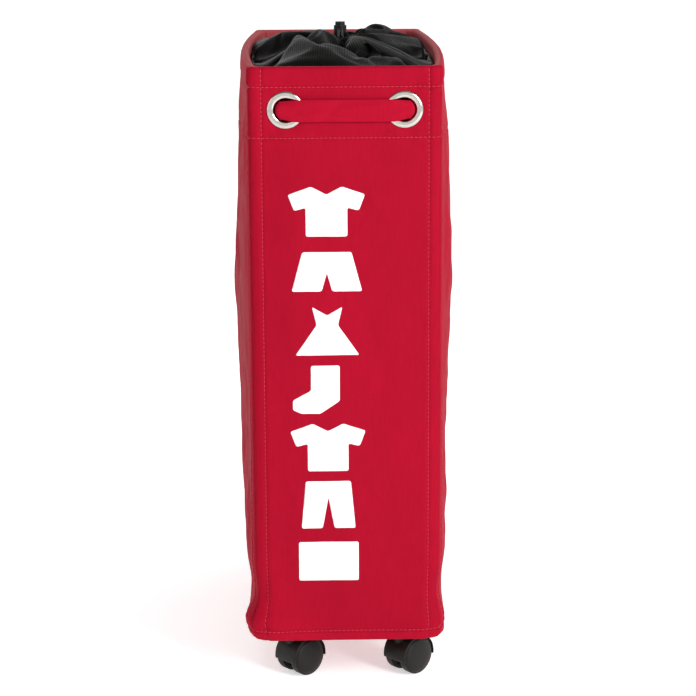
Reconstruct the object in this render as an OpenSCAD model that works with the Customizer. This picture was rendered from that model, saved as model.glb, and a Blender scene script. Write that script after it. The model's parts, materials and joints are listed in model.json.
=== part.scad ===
// Tall narrow laundry bin on four twin-wheel casters.
// +Z is up, the front is the narrow face towards -Y, and the origin is on the floor under the middle.
// All lengths are in millimetres.

/* [Bag] */
// Width of the bag at its rim
rim_w = 180; // [170:1:200]
// Width of the bag at its base
base_w = 188; // [178:1:210]
// Depth of the bag, front to back
bag_d = 400; // [340:5:460]
// Height of the rim above the floor
rim_z = 606; // [480:1:720]
// How far each side stands out at the middle of the rim
rim_bulge = 9; // [5:0.5:12]
// How much further each side stands out at half height
side_bulge = 13; // [4:0.5:20]
// Height of the fabric skirt around the base board
skirt_h = 28; // [20:1:40]
// Depth of the facing sewn inside the rim
facing_h = 66; // [60:1:90]
// Radius of the rounded base corners
base_r = 25; // [24:0.5:28]
// Radius of the corners at the rim
rim_r = 9; // [6:0.5:12]

/* [Eyelets and handles] */
// Distance between the two eyelets of a handle
eyelet_gap = 110; // [100:1:116]
// Depth of the eyelets below the rim
eyelet_drop = 40; // [34:1:42]
// Outer diameter of an eyelet
eyelet_od = 35; // [32:0.5:36]
// Hole diameter of an eyelet
eyelet_id = 21; // [20:0.5:22]
// How far a handle pulls out
handle_pull = 22; // [10:1:26]

/* [Casters] */
// Wheel diameter
wheel_d = 38; // [38:1:44]
// Width over the two wheels of a caster
caster_w = 34; // [33:0.5:38]
// Distance from the swivel axis to the wheel axle
trail = 10; // [10:0.5:13]
// Distance between the left and right swivel axes
caster_gap_x = 108; // [100:1:112]
// Distance between the front and back swivel axes
caster_gap_y = 330; // [250:1:340]
// Direction of the wheel axles at rest, in degrees from +X
caster_turn = -48; // [-90:1:90]

/* [Cover] */
// Height of the gathered mouth above the rim
gather_up = 6; // [2:0.5:12]
// Diameter of the drawstring
cord_d = 2.4; // [2:0.1:2.6]
// Travel of the cord lock button
button_travel = 3; // [2:0.1:3]

/* [Print] */
// How far the printed column stands left of the middle
print_shift = 18; // [0:1:20]

/* [Hidden] */
CORNERS = ["front_left", "front_right", "back_left", "back_right"];
$fn = 64;

red = [0.72, 0.07, 0.17];
dark = [0.12, 0.12, 0.13];
slit = 0.1;                            // gap that keeps two fitted faces from crossing

// layers of a fabric wall, from the outside in
cloth = 1.2;
board_t = 2;
lining_t = 0.6;
front_y = -bag_d / 2;
board_y = front_y + cloth;
lining_y = board_y + board_t;
facing_t = 0.8;
wire_d = 4;
facing_y = board_y + wire_d + 3 * slit;
panel_half = 74;                       // half width of what lies between the corner sleeves

// base
base_z = wheel_d + 9;
board_z = base_z + cloth;
base_board_t = 9;
floor_z = board_z + base_board_t;
ledge_z = floor_z - 1;                 // the board's edge lies lower, and the corner fittings stand on it
skirt_z = base_z + skirt_h;

// rim wire, corner stays and their fittings
wire_z = rim_z - 4;
wire_r = 14;
wire_x = rim_w / 2 - cloth - slit - wire_d / 2;
wire_y = bag_d / 2 - cloth - slit - wire_d / 2;
diagonal = sqrt(0.5);
stay_d = 6;
stay_low = [base_w / 2 - 14, bag_d / 2 - 14, ledge_z];
stay_high = [wire_x - wire_r * (1 - diagonal), wire_y - wire_r * (1 - diagonal), wire_z - wire_d / 2];

// eyelets and handles
eyelet_z = rim_z - eyelet_drop;
eyelet_wall = 0.8;
ring_up = 2.4;
washer_y = facing_y + facing_t;
flare_y = washer_y + 0.8;
strap_t = 2.2;
strap_y = front_y - ring_up - 0.6 - strap_t;
leg_r = eyelet_id / 2 - 0.6;
stop_y = flare_y + 0.6 + handle_pull + 0.3;

// casters
wheel_r = wheel_d / 2;
hood_in = wheel_r + 0.6;
hood_out = wheel_r + 2.2;
hood_half = caster_w / 2 - 2.5;
tread_out = caster_w / 2 - 3;
wheel_in = 6.2;
boss_top = wheel_r + hood_out + 2;
stem_d = 8;
axle_d = 5;
socket_flange_z = base_z - 2.3;
screw_l = 9;

// cover
cover_low = rim_z - 18;
gather_z = rim_z + gather_up;
gather_r = 11.5;
casing_r = 3.2;
lock_y = 27;
lock_low = gather_z + 0.1;
lock_floor = 1.2;
lock_d = 13;
plunger_d = 9.9;
spring_low = lock_low + lock_floor;
spring_h = 1.3 + button_travel;
foot_t = 1;
cord_z = spring_low + spring_h + foot_t + cord_d / 2 + 0.2;
slot_top = cord_z + cord_d / 2 + 0.2 + button_travel;
lock_top = slot_top + 0.3;
cord_apart = cord_d / 2 + 0.2;

// ---- shapes that several parts share ----

// half width of the bag at the corner, at height z
function corner_x(z) = rim_w / 2 + (base_w - rim_w) / 2 * (rim_z - z) / (rim_z - base_z);
// radius of the bag's upright corners, which grow rounder towards the base
function corner_r(z) = rim_r + (base_r - rim_r) * (rim_z - z) / (rim_z - base_z);
// how far the side stands out at half depth, at height z
function bulge(z) = let (u = (z - base_z) / (rim_z - base_z)) rim_bulge * u + side_bulge * sin(180 * u);
// plan of the right side between its corners, d under its outer face
function side_line(z, y_half, d, cols) = [for (j = [0:cols])
    let (y = y_half * (2 * j / cols - 1), flat = bag_d / 2 - corner_r(z))
    [corner_x(z) + bulge(z) * (1 - pow(y / flat, 2)) - d, y]];
// plan of one rounded corner, from the end panel round to the side
function corner_line(z, d, steps) = let (r = corner_r(z)) [for (k = [0:steps - 1])
    let (a = 90 * k / steps) [corner_x(z) - r + (r - d) * sin(a), r - bag_d / 2 - (r - d) * cos(a)]];
function side_plan(z, y_half, d, cols, corners) = let (line = side_line(z, y_half, d, cols)) corners
    ? let (c = corner_line(z, d, corners)) concat(c, line, [for (k = [len(c) - 1:-1:0]) [c[k][0], -c[k][1]]])
    : line;

// a skin of the right side, between two depths under its outer face
module side_skin(z0, z1, y_half, depth0, depth1, rows, cols, corners = 0) {
    n = cols + 1 + 2 * corners;
    per = (rows + 1) * n;
    pts = [for (d = [depth0, depth1], i = [0:rows])
        let (z = z0 + (z1 - z0) * i / rows, reach = corners ? bag_d / 2 - corner_r(z) : y_half)
        for (p = side_plan(z, reach, d, cols, corners)) [p[0], p[1], z]];
    outer = [for (i = [0:rows - 1], j = [0:n - 2]) let (a = i * n + j) [a, a + n, a + n + 1, a + 1]];
    inner = [for (q = outer) [for (k = [3:-1:0]) q[k] + per]];
    low = [for (j = [0:n - 2]) [j, j + 1, j + 1 + per, j + per]];
    high = [for (j = [0:n - 2]) let (a = rows * n + j) [a + 1, a, a + per, a + 1 + per]];
    near = [for (i = [0:rows - 1]) let (a = i * n) [a + n, a, a + per, a + n + per]];
    far = [for (i = [0:rows - 1]) let (a = i * n + n - 1) [a, a + n, a + n + per, a + per]];
    quads = concat(outer, inner, low, high, near, far);
    polyhedron(pts, [for (q = quads, t = [[q[0], q[1], q[2]], [q[0], q[2], q[3]]]) t]);
}

// a flat sheet parallel to the front, from an outline in X and Z
module front_sheet(y, thickness) {
    translate([0, y + thickness, 0]) rotate([90, 0, 0]) linear_extrude(thickness) children();
}

module rect_outline(half_w, z0, z1) {
    translate([-half_w, z0]) square([2 * half_w, z1 - z0]);
}

module eyelet_holes(r) {
    for (side = [-1, 1])
        translate([side * eyelet_gap / 2, front_y + 15, eyelet_z]) rotate([90, 0, 0]) cylinder(r = r, h = 30);
}

module rounded_plate(w, d, r, h) {
    linear_extrude(h) {
        square([w - 2 * r, d], center = true);
        square([w, d - 2 * r], center = true);
        for (x = [-1, 1], y = [-1, 1]) translate([x * (w / 2 - r), y * (d / 2 - r)]) circle(r);
    }
}

module both_ends() {
    children();
    mirror([0, 1, 0]) children();
}

module both_sides() {
    children();
    mirror([1, 0, 0]) children();
}

// a piece drawn for the back right corner, moved to the named one
module at_corner(corner) {
    left = corner == "front_left" || corner == "back_left";
    front = corner == "front_left" || corner == "front_right";
    mirror([left ? 1 : 0, 0, 0]) mirror([0, front ? 1 : 0, 0]) children();
}

// a cylinder from point a to point b
module rod(a, b, r) {
    v = b - a;
    translate(a) rotate([0, acos(v[2] / norm(v)), atan2(v[1], v[0])]) cylinder(r = r, h = norm(v));
}

// a round bar swept along a list of points, none of whose stretches is upright
module tube(path, r, sides, closed = false) {
    n = len(path);
    last = closed ? n - 1 : n - 2;
    rings = [for (i = [0:n - 1])
        let (before = closed ? path[(i + n - 1) % n] : path[max(i - 1, 0)],
             after = closed ? path[(i + 1) % n] : path[min(i + 1, n - 1)],
             t = (after - before) / norm(after - before),
             across = cross(t, [0, 0, 1]),
             side = across / norm(across),
             up = cross(side, t))
        for (k = [0:sides - 1])
            path[i] + r * (cos(360 * k / sides) * side + sin(360 * k / sides) * up)];
    skin = [for (i = [0:last], k = [0:sides - 1])
        let (a = i * sides, b = ((i + 1) % n) * sides, m = (k + 1) % sides) [a + k, a + m, b + m, b + k]];
    caps = closed ? [] : [[for (k = [sides - 1:-1:0]) k], [for (k = [0:sides - 1]) (n - 1) * sides + k]];
    polyhedron(rings, concat([for (q = skin, t = [[q[0], q[1], q[2]], [q[0], q[2], q[3]]]) t], caps));
}

// the point of the corner stay's axis at height z
function stay_at(z) = stay_low + (stay_high - stay_low) * (z - stay_low[2]) / (stay_high[2] - stay_low[2]);

// ---- the base ----

module socket_holes(r) {
    for (x = [-1, 1], y = [-1, 1])
        translate([x * caster_gap_x / 2, y * caster_gap_y / 2, 0]) cylinder(r = r, h = rim_z);
}

module screw_holes() {
    for (corner = CORNERS) at_caster(corner) screw_places() translate([0, 0, -1]) cylinder(r = 1.85, h = screw_l + 1.2);
}

module base_board() {
    raised = [2 * panel_half - 2, caster_gap_y - 20];
    color("burlywood") difference() {
        union() {
            translate([0, 0, board_z])
                rounded_plate(base_w - 2 * cloth - 0.6, bag_d - 2 * cloth - 0.6, base_r - cloth, ledge_z - board_z);
            translate([0, 0, board_z + 1])
                linear_extrude(floor_z - board_z - 1) square(raised, center = true);
        }
        socket_holes(6.6);
        screw_holes();
    }
}

module base_cover() {
    color(red) difference() {
        translate([0, 0, base_z]) rounded_plate(base_w, bag_d, base_r, skirt_h);
        translate([0, 0, board_z]) rounded_plate(base_w - 2 * cloth, bag_d - 2 * cloth, base_r - cloth, skirt_h);
        socket_holes(6.6);
        screw_holes();
    }
}

module base_binding() {
    color(red) difference() {
        translate([0, 0, base_z + 1]) rounded_plate(base_w + 1.6, bag_d + 1.6, base_r + 0.8, 9);
        rounded_plate(base_w, bag_d, base_r, rim_z);
    }
}

// ---- the walls ----

module wall_end() {
    outline = [for (z = [skirt_z, rim_z]) [corner_x(z) - corner_r(z), z]];
    color(red) difference() {
        front_sheet(front_y, cloth)
            polygon(concat(outline, [for (k = [1, 0]) [-outline[k][0], outline[k][1]]]));
        eyelet_holes(eyelet_id / 2 + eyelet_wall);
    }
}

module front_wall() { wall_end(); }
module back_wall() { mirror([0, 1, 0]) wall_end(); }

module right_wall() {
    color(red) side_skin(skirt_z, rim_z, 0, 0, cloth, 14, 12, corners = 4);
}
module left_wall() { mirror([1, 0, 0]) right_wall(); }

// fabric facing inside the rim, with the top turn that hides the wire
module rim_facing() {
    turn_t = 0.8;
    side_depth = 7.6;
    color(red) {
        both_ends() difference() {
            union() {
                front_sheet(facing_y, facing_t) rect_outline(panel_half - 1, rim_z - facing_h, rim_z);
                front_sheet(board_y, facing_y - board_y) rect_outline(panel_half - 1, rim_z - turn_t, rim_z);
            }
            eyelet_holes(eyelet_id / 2 + eyelet_wall);
        }
        both_sides() {
            side_skin(rim_z - facing_h, rim_z - turn_t, 0.42 * bag_d, side_depth, side_depth + facing_t, 3, 10);
            side_skin(rim_z - turn_t, rim_z, 0.42 * bag_d, cloth, side_depth + facing_t, 1, 10);
        }
    }
}

// the sheet narrows downwards, clear of the corners as they grow rounder
module stiffener_end() {
    foot = base_w / 2 - base_r - 0.4;
    outline = [[foot, floor_z + 1], [panel_half, rim_z - 28]];
    color("gainsboro") difference() {
        front_sheet(board_y, board_t)
            polygon(concat(outline, [for (k = [1, 0]) [-outline[k][0], outline[k][1]]]));
        eyelet_holes(eyelet_id / 2 + eyelet_wall);
    }
}
module front_stiffener() { stiffener_end(); }
module back_stiffener() { mirror([0, 1, 0]) stiffener_end(); }

module lining_end() {
    color("dimgray") front_sheet(lining_y, lining_t) rect_outline(panel_half, floor_z + 1, rim_z - facing_h - 1);
}
module front_lining() { lining_end(); }
module back_lining() { mirror([0, 1, 0]) lining_end(); }

// the rim wire: straight at both ends, a shallow arc along each side and a bend at each corner
side_run = wire_y - wire_r;
side_sag = rim_bulge - 0.4;
side_arc_r = (side_run * side_run + side_sag * side_sag) / (2 * side_sag);
side_angle = asin(side_run / (side_arc_r - wire_r));
bend = [wire_x - wire_r, wire_y - wire_r];
side_mid = bend[0] + (wire_r - side_arc_r) * cos(side_angle);

function wire_quarter() = concat(
    [for (t = [0:1:5]) let (a = side_angle * t / 6) [side_mid + side_arc_r * cos(a), side_arc_r * sin(a)]],
    [for (t = [0:1:6]) let (a = side_angle + (90 - side_angle) * t / 6) bend + wire_r * [cos(a), sin(a)]]);
function turned(pts) = [for (k = [len(pts) - 1:-1:0]) pts[k]];
function wire_half() = let (q = wire_quarter()) concat(q, [for (p = turned(q)) if (p[0] > 0) [-p[0], p[1]]]);

module rim_frame() {
    half = wire_half();
    loop = concat(half, [for (p = half) if (p[1] > 0 || p[0] > 0) [-p[0], -p[1]]]);
    route = [for (k = [0:len(loop) - 1]) if (k == 0 || norm(loop[k] - loop[k - 1]) > 0.01) loop[k]];
    whole = norm(route[0] - route[len(route) - 1]) > 0.01 ? route : [for (k = [0:len(route) - 2]) route[k]];
    color("silver") tube([for (p = whole) [p[0], p[1], wire_z]], wire_d / 2, 10, closed = true);
}

// a cap on each stay with an open saddle that the wire lies in
module rim_clips() {
    low = rim_z - 26;
    saddle_w = wire_d + 1.6;
    middle = stay_at(rim_z - 16);
    color(dark) for (corner = CORNERS) at_corner(corner) translate([middle[0], middle[1], 0]) difference() {
        translate([0, 0, low]) cylinder(r = 4.6, h = rim_z - 1.2 - low);
        translate([0, 0, low - 1]) cylinder(r = stay_d / 2 + 0.2, h = 40);
        rotate([0, 0, -45]) translate([-10, -saddle_w / 2, stay_high[2] - 1]) cube([20, saddle_w, 20]);
    }
}

module stay_sockets() {
    color(dark) for (corner = CORNERS) at_corner(corner) difference() {
        translate(stay_low) cylinder(r = 6, h = 14);
        translate(stay_low + [0, 0, 1.5]) cylinder(r = stay_d / 2 + 0.3, h = 20);
    }
}

module stay(corner) {
    color("silver") at_corner(corner) rod(stay_low + [0, 0, 1.5], stay_high, stay_d / 2);
}

module sleeve(corner) {
    color(red) at_corner(corner) difference() {
        rod(stay_at(skirt_z + 5), stay_at(rim_z - 30), 4.8);
        rod(stay_at(skirt_z), stay_at(rim_z - 20), 3.7);
    }
}

// ---- eyelets, handles and the print ----

module eyelet(corner) {
    mid = (eyelet_od + eyelet_id) / 4;
    half = (eyelet_od - eyelet_id) / 4;
    hole = eyelet_id / 2;
    sleeve_l = flare_y - front_y;
    color("gainsboro") at_corner(corner) translate([eyelet_gap / 2, -front_y, eyelet_z])
        rotate([-90, 0, 0]) {
            rotate_extrude() polygon([for (t = [0:15:180]) [mid + half * cos(t), ring_up * sin(t)]]);
            translate([0, 0, -sleeve_l]) difference() {
                cylinder(r = hole + eyelet_wall, h = sleeve_l + 0.2);
                translate([0, 0, -1]) cylinder(r = hole, h = sleeve_l + 3);
            }
            translate([0, 0, -sleeve_l - 0.6]) difference() {
                cylinder(r = hole + 2.2, h = 0.6);
                translate([0, 0, -1]) cylinder(r = hole, h = 3);
            }
        }
}

module eyelet_washers() {
    color("gainsboro") for (corner = CORNERS) at_corner(corner)
        translate([eyelet_gap / 2, -washer_y, eyelet_z]) rotate([90, 0, 0]) difference() {
            cylinder(d = eyelet_od, h = flare_y - washer_y);
            translate([0, 0, -1]) cylinder(r = eyelet_id / 2 + eyelet_wall, h = 4);
        }
}

// a strap whose two legs curl along the outer half of the eyelet holes and end in sewn stops
module handle_end() {
    leg_l = stop_y + 1 - strap_y - strap_t / 2;
    color(red) {
        front_sheet(strap_y, strap_t) {
            rect_outline(eyelet_gap / 2, eyelet_z - leg_r, eyelet_z + leg_r);
            for (side = [-1, 1]) translate([side * eyelet_gap / 2, eyelet_z]) circle(leg_r);
        }
        both_sides() translate([eyelet_gap / 2, strap_y + strap_t / 2, eyelet_z]) rotate([-90, 0, 0]) {
            linear_extrude(leg_l) intersection() {
                difference() {
                    circle(leg_r - 0.3);
                    circle(leg_r - strap_t);
                }
                translate([leg_r / 2, -leg_r]) square(2 * leg_r);
            }
            translate([0, 0, leg_l - 1]) cylinder(r = 13, h = 2.5);
        }
    }
}
module front_handle() { handle_end(); }
module back_handle() { mirror([0, 1, 0]) handle_end(); }

// plain garment shapes, each within a cell of width 1 and height 1 that is centred on the origin
print_w = 72;
print_low = rim_z - 500;
print_step = 57;
print_h = 47;
shirt = [[-0.2, 0.5], [-0.5, 0.34], [-0.42, 0.02], [-0.27, 0.08], [-0.27, -0.5],
         [0.27, -0.5], [0.27, 0.08], [0.42, 0.02], [0.5, 0.34], [0.2, 0.5], [0, 0.34]];
trousers = [[-0.3, 0.5], [-0.36, -0.5], [-0.08, -0.5], [0, 0.16], [0.08, -0.5], [0.36, -0.5], [0.3, 0.5]];
sock = [[-0.22, 0.5], [-0.22, -0.02], [-0.46, -0.22], [-0.46, -0.42], [-0.34, -0.5], [-0.1, -0.5],
        [0.16, -0.24], [0.16, 0.5]];
dress = [[-0.2, 0.5], [-0.14, 0.12], [-0.42, -0.5], [0.42, -0.5], [0.14, 0.12], [0.2, 0.5], [0, 0.32]];
shorts = [[-0.32, 0.4], [-0.46, -0.4], [-0.07, -0.4], [0, -0.02], [0.07, -0.4], [0.46, -0.4], [0.32, 0.4]];
towel = [[-0.4, 0.42], [-0.4, -0.42], [0.4, -0.42], [0.4, 0.42]];
garments = [towel, trousers, shirt, sock, dress, shorts, shirt];

module front_print() {
    color("white") front_sheet(front_y - 0.3, 0.3)
        for (k = [0:len(garments) - 1])
            translate([-print_shift, print_low + print_step * k + print_h / 2])
                polygon([for (p = garments[k]) [print_w * p[0], print_h * p[1]]]);
}

// ---- the gathered cover and its cord lock ----

// a point of the cover, s = 0 at the rim and 1 at the gathered mouth, t around the bag
function cover_edge(t) =
    let (n = 4,
         y = (-facing_y - facing_t - slit) * sign(sin(t)) * pow(abs(sin(t)), 1 / n),
         x = (rim_w / 2 - 8.6) * sign(cos(t)) * pow(abs(cos(t)), 1 / n),
         stand = rim_bulge / (rim_w / 2) * (1 - pow(2 * y / bag_d, 2)))
    [x * (1 + stand), y];
function cover_point(s, t, down) =
    let (mouth = (gather_r + casing_r + 0.2) * [cos(t), sin(t)],
         p = (1 - s) * cover_edge(t) + s * mouth,
         z = cover_low + (gather_z - cover_low) * (0.72 * (1 - pow(1 - s, 4)) + 0.28 * s))
    [p[0], p[1], z - down];

module mesh_cover() {
    rings = 8;
    around = 64;
    thick = 2;
    per = (rings + 1) * around;
    pts = [for (d = [0, thick], i = [0:rings], j = [0:around - 1])
        cover_point(i / rings, 360 * (j + 0.5) / around, d)];
    top = [for (i = [0:rings - 1], j = [0:around - 1])
        let (a = i * around, k = (j + 1) % around) [a + j, a + around + j, a + around + k, a + k]];
    under = [for (q = top) [for (k = [3:-1:0]) q[k] + per]];
    last = rings * around;
    outer = [for (j = [0:around - 1]) let (k = (j + 1) % around) [j, k, k + per, j + per]];
    inner = [for (j = [0:around - 1]) let (k = (j + 1) % around)
        [last + k, last + j, last + j + per, last + k + per]];
    quads = concat(top, under, outer, inner);
    color(dark) polyhedron(pts, [for (q = quads, t = [[q[0], q[1], q[2]], [q[0], q[2], q[3]]]) t]);
}

// the casing is open for 40 degrees towards the lock
casing_gap = 40;
module gather_ring(gap) {
    translate([0, 0, gather_z]) rotate([0, 0, 90 + gap / 2]) rotate_extrude(angle = 360 - gap)
        translate([gather_r, 0]) children();
}

module gather_casing() {
    color(dark) gather_ring(casing_gap) difference() {
        circle(casing_r);
        circle(cord_d / 2 + 0.2);
    }
}

// out of the lock, round the mouth inside the casing, and back through the lock to a knot
module drawstring() {
    leave = 24;
    turn = 360 - leave;
    lead_in = [cord_apart, lock_y - lock_d / 2 - 2, cord_z];
    lead_out = [cord_apart, lock_y + lock_d / 2 + 1, cord_z];
    knot_r = 3.4;
    flip = [-1, 1, 1];
    ring = [for (k = [0:32]) let (a = 90 - leave / 2 - turn * k / 32) [gather_r * cos(a), gather_r * sin(a), gather_z]];
    route = concat([lead_out, lead_in], ring, [for (p = [lead_in, lead_out]) [for (k = [0:2]) p[k] * flip[k]]]);
    color([0.07, 0.07, 0.07]) {
        tube(route, cord_d / 2, 10);
        translate([0, lead_out[1] + knot_r, cord_z]) sphere(knot_r);
    }
}

module cord_lock_barrel() {
    color(dark) translate([0, lock_y, 0]) difference() {
        translate([0, 0, lock_low]) cylinder(d = lock_d, h = lock_top - lock_low);
        translate([0, 0, spring_low]) cylinder(d = plunger_d + 0.1, h = 30);
        translate([0, 0, cord_z]) cube([4 * cord_apart, 2 * lock_d, cord_d + 0.4], center = true);
    }
}

module cord_lock_button() {
    foot = spring_low + spring_h;
    color([0.2, 0.2, 0.21]) translate([0, lock_y, 0]) difference() {
        translate([0, 0, foot]) cylinder(d = plunger_d, h = lock_top + button_travel + 0.6 - foot);
        translate([0, 0, (foot + foot_t + slot_top) / 2])
            cube([4 * cord_apart + 0.4, 2 * lock_d, slot_top - foot - foot_t], center = true);
    }
}

module cord_lock_spring() {
    turns = 3;
    steps = 16 * turns;
    wire = 0.35;
    coil_r = plunger_d / 2 - 1;
    rise = spring_h - 2 * wire - 0.1;
    color("silver") translate([0, lock_y, spring_low + wire + 0.05])
        tube([for (i = [0:steps]) let (a = 360 * turns * i / steps)
            [coil_r * cos(a), coil_r * sin(a), rise * i / steps]], wire, 6);
}

// ---- casters, drawn with the swivel axis at the origin, the axle along X and the trail towards +Y ----

module at_caster(corner) {
    x = corner == "front_left" || corner == "back_left" ? -1 : 1;
    y = corner == "front_left" || corner == "front_right" ? -1 : 1;
    translate([x * caster_gap_x / 2, y * caster_gap_y / 2, 0]) rotate([0, 0, caster_turn]) children();
}

module along_axle(x0, x1, r) {
    translate([x0, trail, wheel_r]) rotate([0, 90, 0]) cylinder(r = r, h = x1 - x0);
}

module hood(corner) {
    edge = 8;
    well_r = stem_d / 2 + 1.6;
    color(dark) at_caster(corner) difference() {
        union() {
            difference() {
                union() {
                    translate([-hood_half, trail, wheel_r]) rotate([90, 0, 90]) rotate([0, 0, -edge])
                        rotate_extrude(angle = 180 + 2 * edge)
                            translate([hood_in, 0]) square([hood_out - hood_in, 2 * hood_half]);
                    translate([0, 0, boss_top - 5]) cylinder(r = 7.5, h = 5);
                }
                along_axle(-caster_w, -wheel_in + 0.3, hood_in - 0.05);
                along_axle(wheel_in - 0.3, caster_w, hood_in - 0.05);
            }
            intersection() {
                along_axle(-2.5, 2.5, hood_in + 0.5);
                translate([-5, trail - 25, wheel_r - 4]) cube([10, 50, 30]);
            }
            translate([0, 0, wheel_r - 2]) cylinder(r = well_r, h = boss_top - wheel_r + 1);
            along_axle(-wheel_in + 0.3, wheel_in - 0.3, 5.6);
        }
        translate([0, 0, wheel_r]) cylinder(d = stem_d + 0.1, h = 40);
        along_axle(-20, 20, axle_d / 2);
    }
}

module stem(corner) {
    color("silver") at_caster(corner) {
        translate([0, 0, wheel_r + 1]) cylinder(d = stem_d, h = floor_z + 6 - wheel_r);
        translate([0, 0, boss_top + 0.4]) cylinder(d = 13, h = socket_flange_z - boss_top - 0.5);
    }
}

module axle(corner) {
    color("silver") at_caster(corner) along_axle(-tread_out + 1, tread_out - 1, axle_d / 2);
}

// one wheel: tread, pocket on the inner side, smooth domed cap on the outer side
module wheel(corner, side) {
    cap = caster_w / 2;
    cap_r = wheel_r - 0.6;
    bore = axle_d / 2 + 0.05;
    dome = [for (t = [0:10:90]) [cap_r * cos(t), tread_out + (cap - tread_out) * sin(t)]];
    outline = concat(
        [[bore, wheel_in], [8, wheel_in], [8, tread_out - 3], [wheel_r - 3.4, tread_out - 3],
         [wheel_r - 3.4, wheel_in], [wheel_r - 0.8, wheel_in], [wheel_r, wheel_in + 0.8],
         [wheel_r, tread_out - 0.6]],
        dome,
        [[0, tread_out - 0.5], [bore, tread_out - 0.5]]);
    color(dark) at_caster(corner) translate([0, trail, wheel_r])
        rotate([0, side * 90, 0]) rotate_extrude() polygon(outline);
}

module caster_sockets() {
    color(dark) for (corner = CORNERS) at_caster(corner) difference() {
        union() {
            translate([0, 0, socket_flange_z]) cylinder(r = 15, h = base_z - socket_flange_z);
            translate([0, 0, socket_flange_z]) cylinder(r = 6.5, h = floor_z + 8 - socket_flange_z);
        }
        translate([0, 0, socket_flange_z - 1]) cylinder(d = stem_d, h = floor_z + 8 - socket_flange_z);
        screw_places() translate([0, 0, -1]) cylinder(r = 1.8, h = 10);
    }
}

module screw_places() {
    for (a = [30:120:270]) rotate([0, 0, a]) translate([11, 0, socket_flange_z]) children();
}

module socket_screws() {
    color("silver") for (corner = CORNERS) at_caster(corner) screw_places() {
        cylinder(r = 1.75, h = screw_l);
        translate([0, 0, -1.2]) cylinder(r = 3.2, h = 1.2);
    }
}

base_board();
base_cover();
base_binding();
front_wall();
back_wall();
left_wall();
right_wall();
rim_facing();
rim_frame();
rim_clips();
stay_sockets();
front_stiffener();
back_stiffener();
front_lining();
back_lining();
eyelet_washers();
mesh_cover();
gather_casing();
drawstring();
cord_lock_barrel();
cord_lock_button();
cord_lock_spring();
front_print();
front_handle();
back_handle();
caster_sockets();
socket_screws();
for (c = CORNERS) {
    stay(c);
    sleeve(c);
    eyelet(c);
    stem(c);
    hood(c);
    axle(c);
    wheel(c, -1);
    wheel(c, 1);
}
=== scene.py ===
"""The finished look of a tall fabric laundry bin on casters, built around its CAD frame."""

import json
import math
from contextlib import contextmanager

import bmesh
import bpy
import numpy as np
from mathutils import Matrix, Vector, noise


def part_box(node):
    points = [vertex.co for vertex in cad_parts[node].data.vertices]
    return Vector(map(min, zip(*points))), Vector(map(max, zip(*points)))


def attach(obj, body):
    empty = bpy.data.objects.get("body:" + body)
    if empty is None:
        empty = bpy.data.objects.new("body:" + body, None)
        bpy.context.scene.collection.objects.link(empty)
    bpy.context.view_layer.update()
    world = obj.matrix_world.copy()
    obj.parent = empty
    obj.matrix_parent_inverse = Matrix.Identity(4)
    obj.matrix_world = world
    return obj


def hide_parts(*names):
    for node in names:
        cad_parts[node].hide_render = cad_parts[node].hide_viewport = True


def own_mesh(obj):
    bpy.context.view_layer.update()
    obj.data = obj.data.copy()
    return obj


bl_info = {
    "name": "Laundry Bin on Casters",
    "version": (1, 0, 0),
    "blender": (4, 5, 0),
    "location": "View3D > Sidebar > Laundry Bin",
    "description": "Builds the fabric, gathered mesh, eyelets, handles and casters of a rolling laundry bin",
    "category": "Object",
}

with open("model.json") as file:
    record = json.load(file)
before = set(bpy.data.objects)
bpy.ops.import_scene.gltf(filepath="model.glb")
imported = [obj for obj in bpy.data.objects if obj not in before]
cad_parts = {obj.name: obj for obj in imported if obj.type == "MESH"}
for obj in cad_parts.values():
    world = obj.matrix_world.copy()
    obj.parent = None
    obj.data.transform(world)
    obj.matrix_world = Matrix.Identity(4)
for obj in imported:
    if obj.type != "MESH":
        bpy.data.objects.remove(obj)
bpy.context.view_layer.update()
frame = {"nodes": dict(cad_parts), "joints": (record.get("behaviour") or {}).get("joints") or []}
MM = 0.001
CORNERS = ("front_left", "front_right", "back_left", "back_right")
PANELS = ("front", "right", "back", "left")
ENDS = ("front", "back")

# ---------------------------------------------------------------- places taken from the frame

RIM_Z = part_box("front_wall")[1].z
BASE_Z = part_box("base_cover")[0].z
HALF_DEPTH = -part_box("front_wall")[0].y
BASE_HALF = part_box("base_cover")[1].x
RIM_HALF = BASE_HALF - 4 * MM
EYELET_X = sum(c.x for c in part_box("front_right_eyelet")) / 2
EYELET_Z = sum(c.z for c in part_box("front_right_eyelet")) / 2
EYELET_R = (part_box("front_right_eyelet")[1].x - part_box("front_right_eyelet")[0].x) / 2
MOUTH_Z = sum(c.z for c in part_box("gather_casing")) / 2
FOOT_SEAM_Z = BASE_Z + 11 * MM
RIM_ROLL, FOOT_ROLL = 3 * MM, 4 * MM
EDGE_ZONE = 26 * MM


# ---------------------------------------------------------------- sizes and colours a user may change

def size_property(name, description, default, precision=4):
    return bpy.props.FloatProperty(name=name, description=description, default=default,
                                   unit="LENGTH", precision=precision)


def colour_property(name, description, default):
    return bpy.props.FloatVectorProperty(name=name, description=description, default=default,
                                         subtype="COLOR", size=3)


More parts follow.
